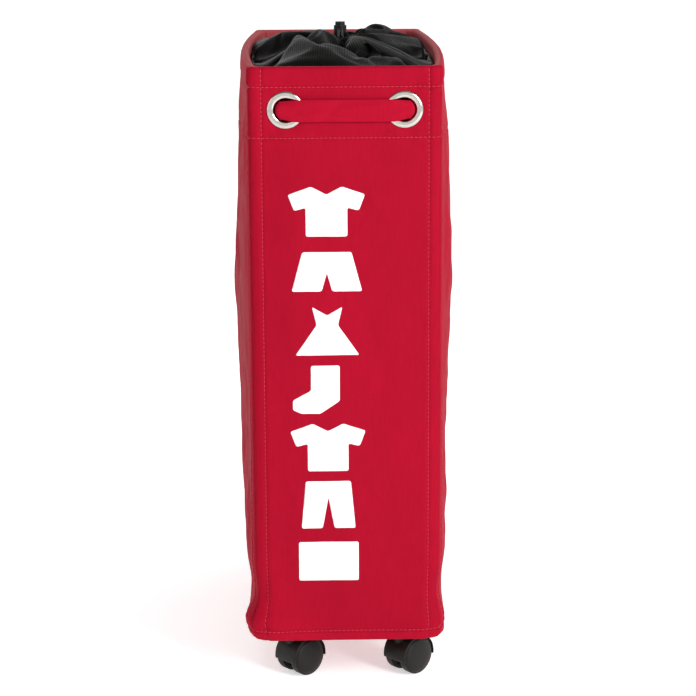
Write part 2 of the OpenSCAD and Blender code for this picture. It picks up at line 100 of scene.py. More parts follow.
class BinBagSizes(bpy.types.PropertyGroup):
    """Sizes of the sewn bag"""
    rim_bulge: size_property(
        "Rim bulge", "How far each side stands out at the middle of the rim", 9 * MM)
    side_bulge: size_property(
        "Side bulge", "How much further each side stands out at half height", 13 * MM)
    rim_radius: size_property(
        "Rim corner radius", "Radius of the upright corners at the rim", 9 * MM)
    base_radius: size_property(
        "Base corner radius", "Radius of the upright corners at the base", 25 * MM)
    seam_inset: size_property(
        "Seam inset", "Distance of the corner seams from the middle of the corner", 10.5 * MM)
    hem: size_property(
        "Hem", "Depth of the hem that holds the rim wire", 19 * MM)
    facing: size_property(
        "Facing", "Depth of the facing sewn inside the rim", 66 * MM)
    cloth: size_property(
        "Cloth thickness", "Thickness of the coated cloth", 0.9 * MM)


class BinStitchSizes(bpy.types.PropertyGroup):
    """Sizes of the sewing thread"""
    pitch: size_property(
        "Pitch", "Distance from one stitch to the next", 4.2 * MM)
    length: size_property(
        "Length", "Length of a stitch", 3.3 * MM)
    radius: size_property(
        "Radius", "Radius of the thread", 0.32 * MM, precision=5)


class BinCoverSizes(bpy.types.PropertyGroup):
    """Sizes of the gathered mesh cover"""
    pleats: bpy.props.IntProperty(name="Pleats", description="Pleats at the gathered mouth", default=17)
    mouth: size_property(
        "Mouth radius", "Middle radius of the pleats at the mouth", 13 * MM)
    puff: size_property(
        "Puff", "Height of the cover's lobes above the rim", 20 * MM)


class BinColours(bpy.types.PropertyGroup):
    """Colours of the finishes"""
    cloth: colour_property(
        "Cloth", "Colour of the coated cloth", (0.285, 0.0036, 0.0165))
    thread: colour_property(
        "Thread", "Colour of the sewing thread", (0.42, 0.04, 0.06))
    lining: colour_property(
        "Lining", "Colour of the cloth's uncoated inner face", (0.30, 0.05, 0.055))
    mesh: colour_property(
        "Mesh", "Colour of the knitted mesh", (0.0021, 0.0019, 0.0018))
    caster: colour_property(
        "Caster", "Colour of the caster plastic", (0.0048, 0.0042, 0.0034))


class BinSettings(bpy.types.PropertyGroup):
    """Everything the bin is built from"""
    bag: bpy.props.PointerProperty(type=BinBagSizes, name="Bag", description="Sizes of the bag")
    stitch: bpy.props.PointerProperty(type=BinStitchSizes, name="Stitches", description="Sizes of the stitches")
    cover: bpy.props.PointerProperty(type=BinCoverSizes, name="Cover", description="Sizes of the mesh cover")
    colours: bpy.props.PointerProperty(type=BinColours, name="Colours", description="Colours of the finishes")


def settings():
    return bpy.context.scene.laundry_bin


# ---------------------------------------------------------------- making meshes

def add_object(name, data):
    obj = bpy.data.objects.new(name, data)
    bpy.context.scene.collection.objects.link(obj)
    return obj


def make_mesh(name, verts, faces, uvs=None):
    """A new object at the origin; uvs holds one pair for each vertex."""
    mesh = bpy.data.meshes.new(name)
    mesh.from_pydata([tuple(v) for v in verts], [], [tuple(f) for f in faces])
    if uvs is not None:
        layer = mesh.uv_layers.new(name="UVMap")
        loop_verts = np.empty(len(mesh.loops), np.int32)
        mesh.loops.foreach_get("vertex_index", loop_verts)
        layer.data.foreach_set("uv", np.asarray(uvs, np.float32)[loop_verts].ravel())
    shade_smooth(mesh)
    mesh.update()
    return add_object(name, mesh)


def shade_smooth(mesh):
    mesh.polygons.foreach_set("use_smooth", [True] * len(mesh.polygons))


@contextmanager
def edited(mesh):
    """A mesh opened for editing, and written back afterwards."""
    bm = bmesh.new()
    bm.from_mesh(mesh)
    yield bm
    bm.to_mesh(mesh)
    bm.free()


def merge_doubles(bm):
    bmesh.ops.remove_doubles(bm, verts=bm.verts, dist=1e-6)


def face_along(mesh, axis, sign):
    """Turns each face whose normal points the wrong way on one axis."""
    for poly in mesh.polygons:
        if poly.normal[axis] * sign < 0:
            poly.flip()


def grid_faces(rows, cols, closed=False, ring=False):
    """Quads of a grid numbered row by row; closed joins the columns round, and ring joins the rows round."""
    faces = []
    for i in range(rows if ring else rows - 1):
        low, high = i * cols, (i + 1) % rows * cols
        for j in range(cols if closed else cols - 1):
            k = (j + 1) % cols
            faces.append((low + j, low + k, high + k, high + j))
    return faces


def finish_piece(obj, body, material, replaces=()):
    """Gives a piece its finish and its body."""
    obj.data.materials.clear()
    obj.data.materials.append(material)
    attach(obj, body)
    if replaces:
        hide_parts(*replaces)
    return obj


def add_thickness(obj, thickness, offset=-1.0):
    mod = obj.modifiers.new("Thickness", "SOLIDIFY")
    mod.thickness = thickness
    mod.offset = offset
    mod.use_even_offset = False


def join_parts(name, parts):
    """One object from several meshes given as (verts, faces)."""
    verts, faces, start = [], [], 0
    for v, f in parts:
        verts += [tuple(p) for p in v]
        faces += [tuple(i + start for i in face) for face in f]
        start += len(v)
    return make_mesh(name, verts, faces)


def point_outwards(obj):
    """Merges doubles and turns every face of a closed mesh outwards."""
    with edited(obj.data) as bm:
        merge_doubles(bm)
        bmesh.ops.recalc_face_normals(bm, faces=bm.faces)
    shade_smooth(obj.data)
    return obj


def lathe(profile, place, steps, ring=False):
    """Turns a list of (radius, height) around Z, placed by a matrix; a ring's profile closes on itself."""
    turn = [math.tau * k / steps for k in range(steps)]
    verts = [place @ Vector((r * math.cos(a), r * math.sin(a), h)) for r, h in profile for a in turn]
    n = len(profile)
    faces = grid_faces(n, steps, closed=True, ring=ring)
    for i in () if ring else (0, n - 1):
        if profile[i][0] > 0:
            faces.append([i * steps + k for k in range(steps)])
    return verts, faces


def rounded(points, radius, steps=4):
    """A profile with its inner corners rounded; a point may carry its own radius as a third value."""
    out = [tuple(points[0][:2])]
    for before, here, after in zip(points, points[1:], points[2:]):
        r = here[2] if len(here) > 2 else radius
        p, a, b = (Vector(q[:2]) for q in (here, before, after))
        u, v = (a - p), (b - p)
        lu, lv = u.length, v.length
        if r <= 0 or lu < 1e-9 or lv < 1e-9:
            out.append(tuple(p))
            continue
        cut = min(r, lu * 0.45, lv * 0.45)
        start, end = p + u / lu * cut, p + v / lv * cut
        for k in range(steps + 1):
            t = k / steps
            q = start * (1 - t) ** 2 + p * 2 * t * (1 - t) + end * t ** 2
            out.append((q.x, q.y))
    out.append(tuple(points[-1][:2]))
    return out


# ---------------------------------------------------------------- materials

class Finish:
    """A node material under construction."""

    def __init__(self, name):
        self.material = bpy.data.materials.new(name)
        self.material.use_nodes = True
        self.tree = self.material.node_tree
        self.shader = self.tree.nodes["Principled BSDF"]

    def node(self, kind, **inputs):
        n = self.tree.nodes.new(kind)
        for key, value in inputs.items():
            if hasattr(n, key):
                setattr(n, key, value)
            else:
                n.inputs[key.replace("_", " ")].default_value = value
        return n

    def link(self, a, b):
        self.tree.links.new(a, b)

    def place(self, scale=(1, 1, 1), uv=False):
        coords = self.node("ShaderNodeTexCoord")
        mapping = self.node("ShaderNodeMapping")
        mapping.inputs["Scale"].default_value = scale
        self.link(coords.outputs["UV" if uv else "Object"], mapping.inputs["Vector"])
        return mapping.outputs["Vector"]

    def noise(self, vector, scale, detail=3.0):
        n = self.node("ShaderNodeTexNoise", Scale=scale, Detail=detail)
        self.link(vector, n.inputs["Vector"])
        return n.outputs["Fac"]

    def wave(self, vector, scale, direction):
        n = self.node("ShaderNodeTexWave", Scale=scale)
        n.bands_direction = direction
        self.link(vector, n.inputs["Vector"])
        return n.outputs["Fac"]

    def math(self, operation, a, b):
        n = self.node("ShaderNodeMath")
        n.operation = operation
        for k, value in enumerate((a, b)):
            if isinstance(value, (int, float)):
                n.inputs[k].default_value = value
            else:
                self.link(value, n.inputs[k])
        return n.outputs[0]

    def ramp(self, fac, low, high, start=0.0, end=1.0):
        n = self.node("ShaderNodeValToRGB")
        n.color_ramp.elements[0].position, n.color_ramp.elements[1].position = start, end
        n.color_ramp.elements[0].color, n.color_ramp.elements[1].color = (*low, 1), (*high, 1)
        self.link(fac, n.inputs["Fac"])
        return n.outputs["Color"]

    def span(self, fac, low, high):
        n = self.node("ShaderNodeMapRange")
        n.inputs["To Min"].default_value, n.inputs["To Max"].default_value = low, high
        self.link(fac, n.inputs["Value"])
        return n.outputs["Result"]

    def bump(self, height, strength, distance):
        n = self.node("ShaderNodeBump", Strength=strength, Distance=distance)
        self.link(height, n.inputs["Height"])
        self.link(n.outputs["Normal"], self.shader.inputs["Normal"])

    def set(self, **values):
        for key, value in values.items():
            self.shader.inputs[key.replace("_", " ")].default_value = value

    def coat(self, fac, colours, rough, share=(0.0, 1.0)):
        """Colour and roughness that both follow one pattern."""
        self.link(self.ramp(fac, *colours, *share), self.shader.inputs["Base Color"])
        self.link(self.span(fac, *rough), self.shader.inputs["Roughness"])


def scaled(colour, k):
    return tuple(min(1.0, c * k) for c in colour)


THREAD = 0.55 * MM


def woven_cloth(name, colour, roughness, sheen):
    """Coated plain-weave cloth: fine warp and weft, slight slubs, soft streaks in the coating."""
    m = Finish(name)
    uv = m.place(uv=True)
    threads = 1 / (THREAD * math.pi)
    warp, weft = m.wave(uv, threads, "X"), m.wave(uv, threads, "Y")
    weave = m.math("MULTIPLY", warp, weft)
    slub = m.noise(m.place((1, 0.12, 1), uv=True), 420.0, 4.0)
    patch = m.noise(m.place((1, 0.5, 1), uv=True), 9.0, 5.0)
    tone = m.math("ADD", m.math("MULTIPLY", patch, 0.65), m.math("MULTIPLY", slub, 0.35))
    m.coat(tone, (scaled(colour, 0.86), scaled(colour, 1.14)), (roughness - 0.07, roughness + 0.07), (0.3, 0.7))
    m.bump(m.math("ADD", weave, m.math("MULTIPLY", slub, 0.6)), 0.35, 0.12 * MM)
    m.set(Sheen_Weight=sheen, Sheen_Roughness=0.45, Specular_IOR_Level=0.015)
    return m.material


def knitted_mesh(colour):
    """Black warp-knit mesh: small round holes in staggered rows between shiny yarns, with painted shade in the
    opaque holes.
    """
    m = Finish("knitted mesh")
    uv = m.place(uv=True)
    cell = m.node("ShaderNodeTexVoronoi", Scale=1 / (2.4 * MM), Randomness=0.18)
    m.link(uv, cell.inputs["Vector"])
    yarn = m.span(cell.outputs["Distance"], 0.0, 1.0)
    holes = m.ramp(yarn, (0, 0, 0), (1, 1, 1), 0.22, 0.34)
    # the holes are opaque and painted near black: painted shade for the dark inside of the bag seen through
    # them
    m.coat(holes, (scaled(colour, 0.15), scaled(colour, 1.5)), (0.95, 0.52))
    m.bump(holes, 0.6, 0.35 * MM)
    m.set(Sheen_Weight=0.0, Specular_IOR_Level=0.06)
    return m.material


def moulded(name, colour, roughness, grain=0.4, gloss=0.5):
    """Moulded plastic with a fine spark texture and faint handling wear."""
    m = Finish(name)
    at = m.place()
    spark = m.noise(at, 2600.0, 2.0)
    wear = m.noise(at, 60.0, 5.0)
    m.coat(wear, (scaled(colour, 0.9), scaled(colour, 1.25)),
           (roughness - 0.06, roughness + 0.08), (0.35, 0.75))
    m.bump(spark, grain, 0.05 * MM)
    m.set(Specular_IOR_Level=gloss)
    return m.material


def metal(name, colour, roughness, streak):
    """Plated metal: fine scratches over a polished base."""
    m = Finish(name)
    at = m.place((1, 1, streak))
    scratch = m.noise(at, 900.0, 6.0)
    m.coat(scratch, (scaled(colour, 0.93), scaled(colour, 1.05)),
           (roughness * 0.6, roughness * 1.5), (0.3, 0.7))
    m.bump(scratch, 0.12, 0.02 * MM)
    m.set(Metallic=1.0)
    return m.material


def printed_ink():
    """Opaque white ink that follows the weave under it, with a few thin places."""
    m = Finish("white ink")
    at = m.place()
    threads = 1 / (THREAD * math.pi)
    weave = m.math("MULTIPLY", m.wave(at, threads, "X"), m.wave(at, threads, "Z"))
    thin = m.noise(at, 220.0, 6.0)
    m.coat(thin, ((0.76, 0.71, 0.70), (0.82, 0.80, 0.79)), (0.42, 0.6), (0.3, 0.6))
    m.bump(m.math("ADD", weave, thin), 0.25, 0.08 * MM)
    return m.material


def fibre_board():
    """Pressed fibre board: short fibres across the sheet."""
    m = Finish("fibre board")
    at = m.place((1, 1, 4))
    fibre = m.noise(at, 700.0, 6.0)
    m.coat(fibre, ((0.30, 0.19, 0.10), (0.52, 0.37, 0.22)), (0.7, 0.9), (0.3, 0.7))
    m.bump(fibre, 0.3, 0.1 * MM)
    return m.material


def braided_cord():
    """Black braid: two sets of crossing strands, with painted shade in the gaps between them."""
    m = Finish("braided cord")
    uv = m.place(uv=True)
    turned = m.node("ShaderNodeMapping")
    turned.inputs["Rotation"].default_value = (0, 0, math.radians(45))
    m.link(uv, turned.inputs["Vector"])
    braid = m.math("MULTIPLY", m.wave(turned.outputs[0], 320.0, "X"), m.wave(turned.outputs[0], 320.0, "Y"))
    # the colour is darker in the low gaps between the strands than on their crowns: painted shade
    m.coat(braid, ((0.006, 0.006, 0.007), (0.035, 0.035, 0.037)), (0.75, 0.5))
    m.bump(braid, 0.8, 0.2 * MM)
    return m.material


def studio_floor():
    """Pale matt floor with a slight glow of its own."""
    m = Finish("studio floor")
    at = m.place()
    patch = m.noise(at, 0.6, 2.0)
    m.link(m.ramp(patch, (0.86, 0.86, 0.86), (0.88, 0.88, 0.88)), m.shader.inputs["Base Color"])
    m.set(Roughness=0.7, Specular_IOR_Level=0.2, Emission_Color=(1, 1, 1, 1), Emission_Strength=0.47)
    return m.material


_made = {}


def finish(name):
    """The material of that name, made once."""
    c = settings().colours
    makers = {
        "cloth": lambda: woven_cloth("red coated cloth", c.cloth, 0.52, 0.0),
        "strap": lambda: woven_cloth("red strap", scaled(c.cloth, 1.08), 0.42, 0.0),
        "lining": lambda: woven_cloth("inner face of the cloth", c.lining, 0.72, 0.03),
        "thread": lambda: moulded("sewing thread", c.thread, 0.6, 0.2, 0.1),
        "mesh": lambda: knitted_mesh(c.mesh),
        "ink": printed_ink,
        "nickel": lambda: metal("polished nickel", (0.50, 0.47, 0.425), 0.12, 1.0),
        "steel": lambda: metal("zinc-plated steel", (0.60, 0.60, 0.61), 0.30, 0.05),
        "caster": lambda: moulded("caster plastic", c.caster, 0.42, 0.25, 0.22),
        "fitting": lambda: moulded("fitting plastic", (0.03, 0.03, 0.032), 0.5, 0.4),
        "lock": lambda: moulded("lock plastic", (0.006, 0.006, 0.0065), 0.4, 0.1, 0.2),
        "sheet": lambda: moulded("stiffener sheet", (0.74, 0.74, 0.72), 0.5, 0.2),
        "board": fibre_board,
        "cord": braided_cord,
    }
    if name not in _made:
        _made[name] = makers[name]()
    return _made[name]


# ---------------------------------------------------------------- the shape of the bag

def height_share(z):
    return (z - BASE_Z) / (RIM_Z - BASE_Z)


def corner_x(z):
    return RIM_HALF + (BASE_HALF - RIM_HALF) * (1 - height_share(z))


def corner_r(z):
    b = settings().bag
    return b.rim_radius + (b.base_radius - b.rim_radius) * (1 - height_share(z))


def side_bulge(z):
    b, u = settings().bag, height_share(z)
    return b.rim_bulge * u + b.side_bulge * np.sin(math.pi * np.clip(u, 0, 1))


def half_run(z, end_panel):
    """Distance along the cloth from a panel's middle to the middle of its corner."""
    flat = (corner_x(z) if end_panel else HALF_DEPTH) - corner_r(z)
    return flat + corner_r(z) * math.pi / 4


def plan_point(end_panel, s, z):
    """Point and outward normal in plan, s along the front or the right panel from its middle."""
    r, sign = corner_r(z), np.sign(s)
    flat = (corner_x(z) if end_panel else HALF_DEPTH) - r
    over = np.clip((np.abs(s) - flat) / r, 0, math.pi / 4)
    along = np.clip(s, -flat, flat) + sign * r * np.sin(over)
    across = (HALF_DEPTH if end_panel else corner_x(z)) - r * (1 - np.cos(over))
    na, nc = sign * np.sin(over), np.cos(over)
    if not end_panel:
        bulge = side_bulge(z)
        inside = np.clip(s / flat, -1, 1)
        across = across + bulge * (1 - inside ** 2)
        slope = np.where(np.abs(s) < flat, 2 * bulge * inside / flat, 0)
        na = na + slope * (over == 0)
        length = np.hypot(na, nc)
        na, nc = na / length, nc / length
        return across, along, nc, na
    return along, -across, na, -nc


def fbm(points, seed, octaves=3):
    """Smooth noise for an array of points, about -1 to 1."""
    shift = Vector((seed * 7.31, seed * 3.17, seed * 5.53))
    return np.array([noise.fractal(Vector(p) + shift, 1.0, 2.0, octaves) for p in points])


def ease(t):
    """0 below 0, 1 above 1, and a smooth rise between."""
    t = np.clip(t, 0, 1)
    return t * t * (3 - 2 * t)


def groove(distance, depth, width):
    return -depth * np.exp(-(distance / width) ** 2)


def cloth_relief(panel, s, edge, z, x, y):
    """How far the cloth stands out of its plain shape; edge is the distance from the corner's middle."""
    b = settings().bag
    seam, hem_z, facing_z, low_z = b.seam_inset, RIM_Z - b.hem, RIM_Z - b.facing, FOOT_SEAM_Z
    end_panel = panel in ENDS
    pts = np.stack([x, y, z], 1)
    out = 1.2 * MM * np.cos(np.clip(edge / seam, 0, 1) * math.pi / 2) ** 2
    # slack in the cloth, held near the seams and by the boards behind the ends
    held = ease((edge - seam) / (34 * MM)) * ease((z - BASE_Z) / 0.08) * ease((RIM_Z - z) / 0.08)
    slack = fbm(pts * [7, 7, 4.5], 1)
    drape = fbm(np.stack([(x + y) * 20 + z * 5, z * 4.5, x * 4], 1), 2, 4)
    fine = fbm(np.stack([(x + y) * 55 - z * 16, z * 14, y * 9], 1), 4)
    if end_panel:
        out = out + 0.75 * MM + (1.1 * slack + 1.3 * drape + 1.2) * MM * held
        out = out + 0.4 * MM * fine * (0.3 + held)
    else:
        sweep = fbm(np.stack([y * 5 - z * 7, y * 1.5 + z * 1.2, x * 2], 1), 6)
        out = out + (3.4 * slack + 2.6 * drape + 2.4 * sweep) * MM * (0.06 + held)
        out = out + 0.7 * MM * fine * (0.2 + held)
    # seams, and the pucker that each one draws in the cloth
    along = np.where(np.abs(edge - seam) < 9 * MM, z, s)
    pucker = np.sin(math.tau * along / (9 * MM) + 6 * fbm(pts * 30, 3, 2))
    for distance, depth in ((edge - seam, 0.85), (z - hem_z, 0.8), (z - facing_z, 0.7), (z - low_z, 0.9)):
        out = out + groove(distance, depth * MM, 1.4 * MM)
        out = out + 0.28 * MM * pucker * np.exp(-(np.abs(distance) / (6 * MM)) ** 2)
    # the hem stands out over the rim wire
    out = out + 1.1 * MM * np.sin(np.clip((z - hem_z) / b.hem, 0, 1) * math.pi) ** 0.7
    # the foot: nipped in above the base board, full around it
    nip = np.exp(-((z - 0.093) / 0.020) ** 2)
    full = np.exp(-((z - 0.066) / 0.014) ** 2)
    near_corner = np.exp(-(edge / (40 * MM)) ** 2)
    out = out - (1.2 + 2.2 * near_corner) * MM * nip + (0.8 + 2.0 * near_corner) * MM * full
    if panel in ("front", "left"):
        towards = (s < 0) if panel == "front" else (s > 0)
        out = out + 5.5 * MM * near_corner * full * towards
    if panel == "front":
        # the fold pressed into the front left foot
        fold = z - (0.060 + (-0.074 - x) * 0.45)
        out = out - 1.9 * MM * np.exp(-(fold / (1.6 * MM)) ** 2) * ease((-0.070 - x) / (8 * MM))
    if end_panel:
        for side in (-1, 1):
            dx, dz = x - side * EYELET_X, z - EYELET_Z
            far = np.hypot(dx, dz)
            ray = np.cos(7 * np.arctan2(dz, dx) + side)
            out = out + 0.45 * MM * ray * np.exp(-((far - EYELET_R) / (14 * MM)) ** 2) * (far > EYELET_R * 0.5)
            out = out * (0.15 + 0.85 * ease((far - EYELET_R * 0.8) / (9 * MM)))
        # the boards behind the ends stop the cloth from sinking in
        limit = (0.2 + 5 * ease((np.abs(x) - 72 * MM) / (16 * MM))) * MM
        out = np.where(out < -limit, -limit, out)
    return out


def bag_surface(panel, s, z, out=0.0):
    """Points of the finished cloth, for arrays of s and z; out moves them along the normal."""
    end_panel = panel in ENDS
    x, y, nx, ny = plan_point(end_panel, s, z)
    if panel in ("back", "left"):
        x, y, nx, ny = -x, -y, -nx, -ny
    edge = half_run(z, end_panel) - np.abs(s)
    lift = cloth_relief(panel, s, edge, z, x, y) + out
    return np.stack([x + nx * lift, y + ny * lift, z], 1)


def spread(low, high, step, lines=(), fine=0.9 * MM, reach=4.5 * MM):
    """Values from low to high, closer together near each line."""
    low, high = round(low, 6), round(high, 6)
    values = {round(v, 6) for v in np.linspace(low, high, max(2, int((high - low) / step) + 1))}
    for line in lines:
        values = {v for v in values if abs(v - line) > reach + fine} | {low, high}
        count = int(reach / fine)
        values |= {round(line + k * fine, 6) for k in range(-count, count + 1)
                   if low + fine / 2 < line + k * fine < high - fine / 2}
    return np.array(sorted(values))


def panel_columns(end_panel, step=4 * MM):
    """Columns as (side, distance from the corner) in the edge zones and (0, share) between them."""
    edges = spread(0.0, EDGE_ZONE, 2.2 * MM, [settings().bag.seam_inset])
    span = (corner_x(RIM_Z) if end_panel else HALF_DEPTH) - EDGE_ZONE
    middle = np.linspace(-1, 1, int(2 * span / step) + 1)[1:-1]
    return [(-1, d) for d in edges] + [(0, m) for m in middle] + [(1, d) for d in edges[::-1]]


def column_s(column, z, end_panel):
    side, value = column
    run = half_run(z, end_panel)
    return value * (run - EDGE_ZONE) if side == 0 else side * (run - value)


def sheet_grid(name, panel, profile, columns):
    """A strip of cloth over profile, a list of (z, out), or of (z, function of the corner distance)."""
    end_panel = panel in ENDS
    verts, uvs = [], []
    for z, out in profile:
        zs = np.full(len(columns), z)
        s = np.array([column_s(c, z, end_panel) for c in columns])
        edge = half_run(z, end_panel) - np.abs(s)
        push = out(edge) if callable(out) else out
        verts.append(bag_surface(panel, s, zs, push))
        shift = np.cumsum([0.0] + [abs(a - b) for a, b in zip(s[1:], s)])
        uvs.append(np.stack([shift - shift[-1] / 2, np.full(len(columns), z)], 1))
    rows, cols = len(profile), len(columns)
    return make_mesh(name, np.concatenate(verts), grid_faces(rows, cols), np.concatenate(uvs))


def wall_profile():
    """Heights of the outer cloth, with its roll over the rim and under the foot."""
    b = settings().bag
    lines = [RIM_Z - b.hem, RIM_Z - b.facing, FOOT_SEAM_Z]
    body = spread(BASE_Z + FOOT_ROLL, RIM_Z - RIM_ROLL, 4 * MM, lines)
    foot = [(BASE_Z + FOOT_ROLL * (1 - math.sin(a)), -FOOT_ROLL * (1 - math.cos(a)))
            for a in np.radians([90, 70, 50, 30, 15])]
    rim = [(RIM_Z - RIM_ROLL * (1 - math.sin(a)), -RIM_ROLL * (1 - math.cos(a)))
           for a in np.radians([15, 30, 50, 70, 90])]
    return foot + [(z, 0.0) for z in body] + rim


def facing_profile(end_panel):
    """The facing turns in over the rim wire, and lies deeper in the corners, over each stay and its clip."""
    b = settings().bag
    flat = (5.0 if end_panel else 5.4) * MM

    def depth(edge):
        return flat + (12.2 * MM - flat) * np.exp(-(edge / (13 * MM)) ** 2)

    turn = [(RIM_Z - RIM_ROLL * (1 - math.sin(a)), lambda edge, c=math.cos(a): -RIM_ROLL + depth(edge) * c)
            for a in np.radians([90, 105, 120, 140, 160, 175])]
    down = np.arange(RIM_Z - RIM_ROLL - 2 * MM, RIM_Z - b.facing, -4 * MM)
    return turn + [(z, lambda edge: -RIM_ROLL - depth(edge)) for z in down]


def cut_eyelet_holes(obj, panel):
    """Cuts the two round holes that the eyelets close."""
    sign = -1 if panel == "front" else 1
    hole = EYELET_R * 0.72
    with edited(obj.data) as bm:
        gone = []
        for face in bm.faces:
            c = face.calc_center_median()
            if c.y * sign > 0 and math.hypot(abs(c.x) - EYELET_X, c.z - EYELET_Z) < hole:
                gone.append(face)
        bmesh.ops.delete(bm, geom=gone, context="FACES")


class BIN_OT_walls(bpy.types.Operator):
    """Builds the four outer walls of the bag"""
    bl_idname = "laundry_bin.walls"
    bl_label = "Walls"

    def execute(self, context):
        for panel in PANELS:
            end_panel = panel in ENDS
            obj = sheet_grid(panel + "_panel", panel, wall_profile(), panel_columns(end_panel))
            if end_panel:
                cut_eyelet_holes(obj, panel)
            add_thickness(obj, settings().bag.cloth)
            finish_piece(obj, "bag", finish("cloth"), [panel + "_wall"])
        return {"FINISHED"}


class BIN_OT_facing(bpy.types.Operator):
    """Builds the facing inside the rim and the linings over the stiffener sheets"""
    bl_idname = "laundry_bin.facing"
    bl_label = "Facing"

    def execute(self, context):
        for panel in PANELS:
            end_panel = panel in ENDS
            obj = sheet_grid(panel + "_facing", panel, facing_profile(end_panel),
                             panel_columns(end_panel, 8 * MM))
            if end_panel:
                cut_eyelet_holes(obj, panel)
            add_thickness(obj, 0.6 * MM)
            finish_piece(obj, "bag", finish("lining"), ["rim_facing"])
        for end in ENDS:
            self.lining(end)
        for corner in CORNERS:
            self.sleeve(corner)
        return {"FINISHED"}

    def lining(self, end):
        """The loose cloth over the stiffener sheet, seen only from inside the bag."""
        low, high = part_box(end + "_lining")
        toward = 1 if end == "front" else -1
        xs, zs = np.linspace(low.x, high.x, 37), np.linspace(low.z, high.z, 121)
        grid_z, grid_x = [m.ravel() for m in np.meshgrid(zs, xs, indexing="ij")]
        ends = np.minimum(high.z - grid_z, grid_z - low.z)
        free = ease((high.x - np.abs(grid_x)) / (20 * MM)) * ease(ends / (30 * MM))
        wave = 0.5 + 0.5 * fbm(np.stack([grid_x * 16, grid_z * 6, grid_z * 0 + toward], 1), 12)
        face = low.y if end == "front" else high.y
        y = face + toward * (0.2 + 2.2 * wave * free) * MM
        obj = make_mesh(end + "_lining_cloth", np.stack([grid_x, y, grid_z], 1),
                        grid_faces(len(zs), len(xs)), np.stack([grid_x, grid_z], 1))
        face_along(obj.data, 1, toward)
        add_thickness(obj, 0.5 * MM, 1.0)
        finish_piece(obj, "bag", finish("lining"), [end + "_lining"])

    def sleeve(self, corner):
        """The cloth tube around a corner stay, gathered a little along its length."""
        low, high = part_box(corner + "_sleeve")
        sx, sy = (1 if low.x > 0 else -1), (1 if low.y > 0 else -1)
        radius, rows, around, verts, uvs = 4.7 * MM, 240, 24, [], []
        x0, x1 = [v - sx * radius * side for v, side in zip((low.x, high.x)[::sx], (-1, 1))]
        y0, y1 = [v - sy * radius * side for v, side in zip((low.y, high.y)[::sy], (-1, 1))]
        for i in range(rows + 1):
            t = i / rows
            z = low.z + (high.z - low.z) * t
            for k in range(around):
                a = math.tau * k / around
                pinch = noise.noise(Vector((2 * math.cos(a), 2 * math.sin(a), z * 90 + sx + 2 * sy)))
                r = radius + (0.3 * pinch - 0.35) * MM
                verts.append((x0 + (x1 - x0) * t + r * math.cos(a), y0 + (y1 - y0) * t + r * math.sin(a), z))
                uvs.append((radius * a, z))
        obj = make_mesh(corner + "_sleeve_cloth", verts, grid_faces(rows + 1, around, closed=True), uvs)
        add_thickness(obj, 0.5 * MM)
        finish_piece(obj, "bag", finish("lining"), [corner + "_sleeve"])


class BIN_OT_base(bpy.types.Operator):
    """Builds the cloth under the base board and the binding around the foot"""
    bl_idname = "laundry_bin.base"
    bl_label = "Base"

    def execute(self, context):
        self.underside()
        self.binding()
        return {"FINISHED"}

    def underside(self):
        """One sheet under the board, from the foot's edge to the middle, sagging a little."""
        rim, z = [], BASE_Z
        for panel in PANELS:
            end_panel = panel in ENDS
            s = np.array([column_s(c, z, end_panel) for c in panel_columns(end_panel, 8 * MM)])
            rim += list(bag_surface(panel, s, np.full(len(s), z), -FOOT_ROLL)[:-1])
        rim = np.array(rim)
        verts, n = [], len(rim)
        shares = (1.0, 0.97, 0.9, 0.8, 0.65, 0.5, 0.35, 0.2, 0.06)
        for share in shares:
            ring = rim * [share, share, 1]
            sag = fbm(ring * 14, 9, 2) * 0.5 * MM * min(1, (1 - share) * 12)
            ring[:, 2] = z + sag
            verts.append(ring)
        verts = np.concatenate(verts)
        faces = grid_faces(len(shares), n, closed=True)
        faces.append([(len(shares) - 1) * n + k for k in range(n)])
        obj = make_mesh("base_underside", verts, faces, verts[:, :2])
        face_along(obj.data, 2, -1)
        add_thickness(obj, settings().bag.cloth)
        finish_piece(obj, "bag", finish("cloth"), ["base_cover"])

    def binding(self):
        """A folded strip over the edge of the cloth, following its roll under the foot."""
        profile = []
        for a in np.linspace(0, math.pi, 11):
            z = BASE_Z + (5.1 - 4.5 * math.cos(a)) * MM
            under = max(0.0, 1 - (z - BASE_Z) / FOOT_ROLL)
            roll = FOOT_ROLL * (1 - math.sqrt(max(0.0, 1 - under ** 2)))
            profile.append((z, (-0.9 + 1.7 * math.sin(a) ** 0.5) * MM - roll))
        for panel in PANELS:
            end_panel = panel in ENDS
            obj = sheet_grid(panel + "_binding", panel, profile, panel_columns(end_panel, 6 * MM))
            finish_piece(obj, "bag", finish("strap"), ["base_binding"])


# ---------------------------------------------------------------- stitches

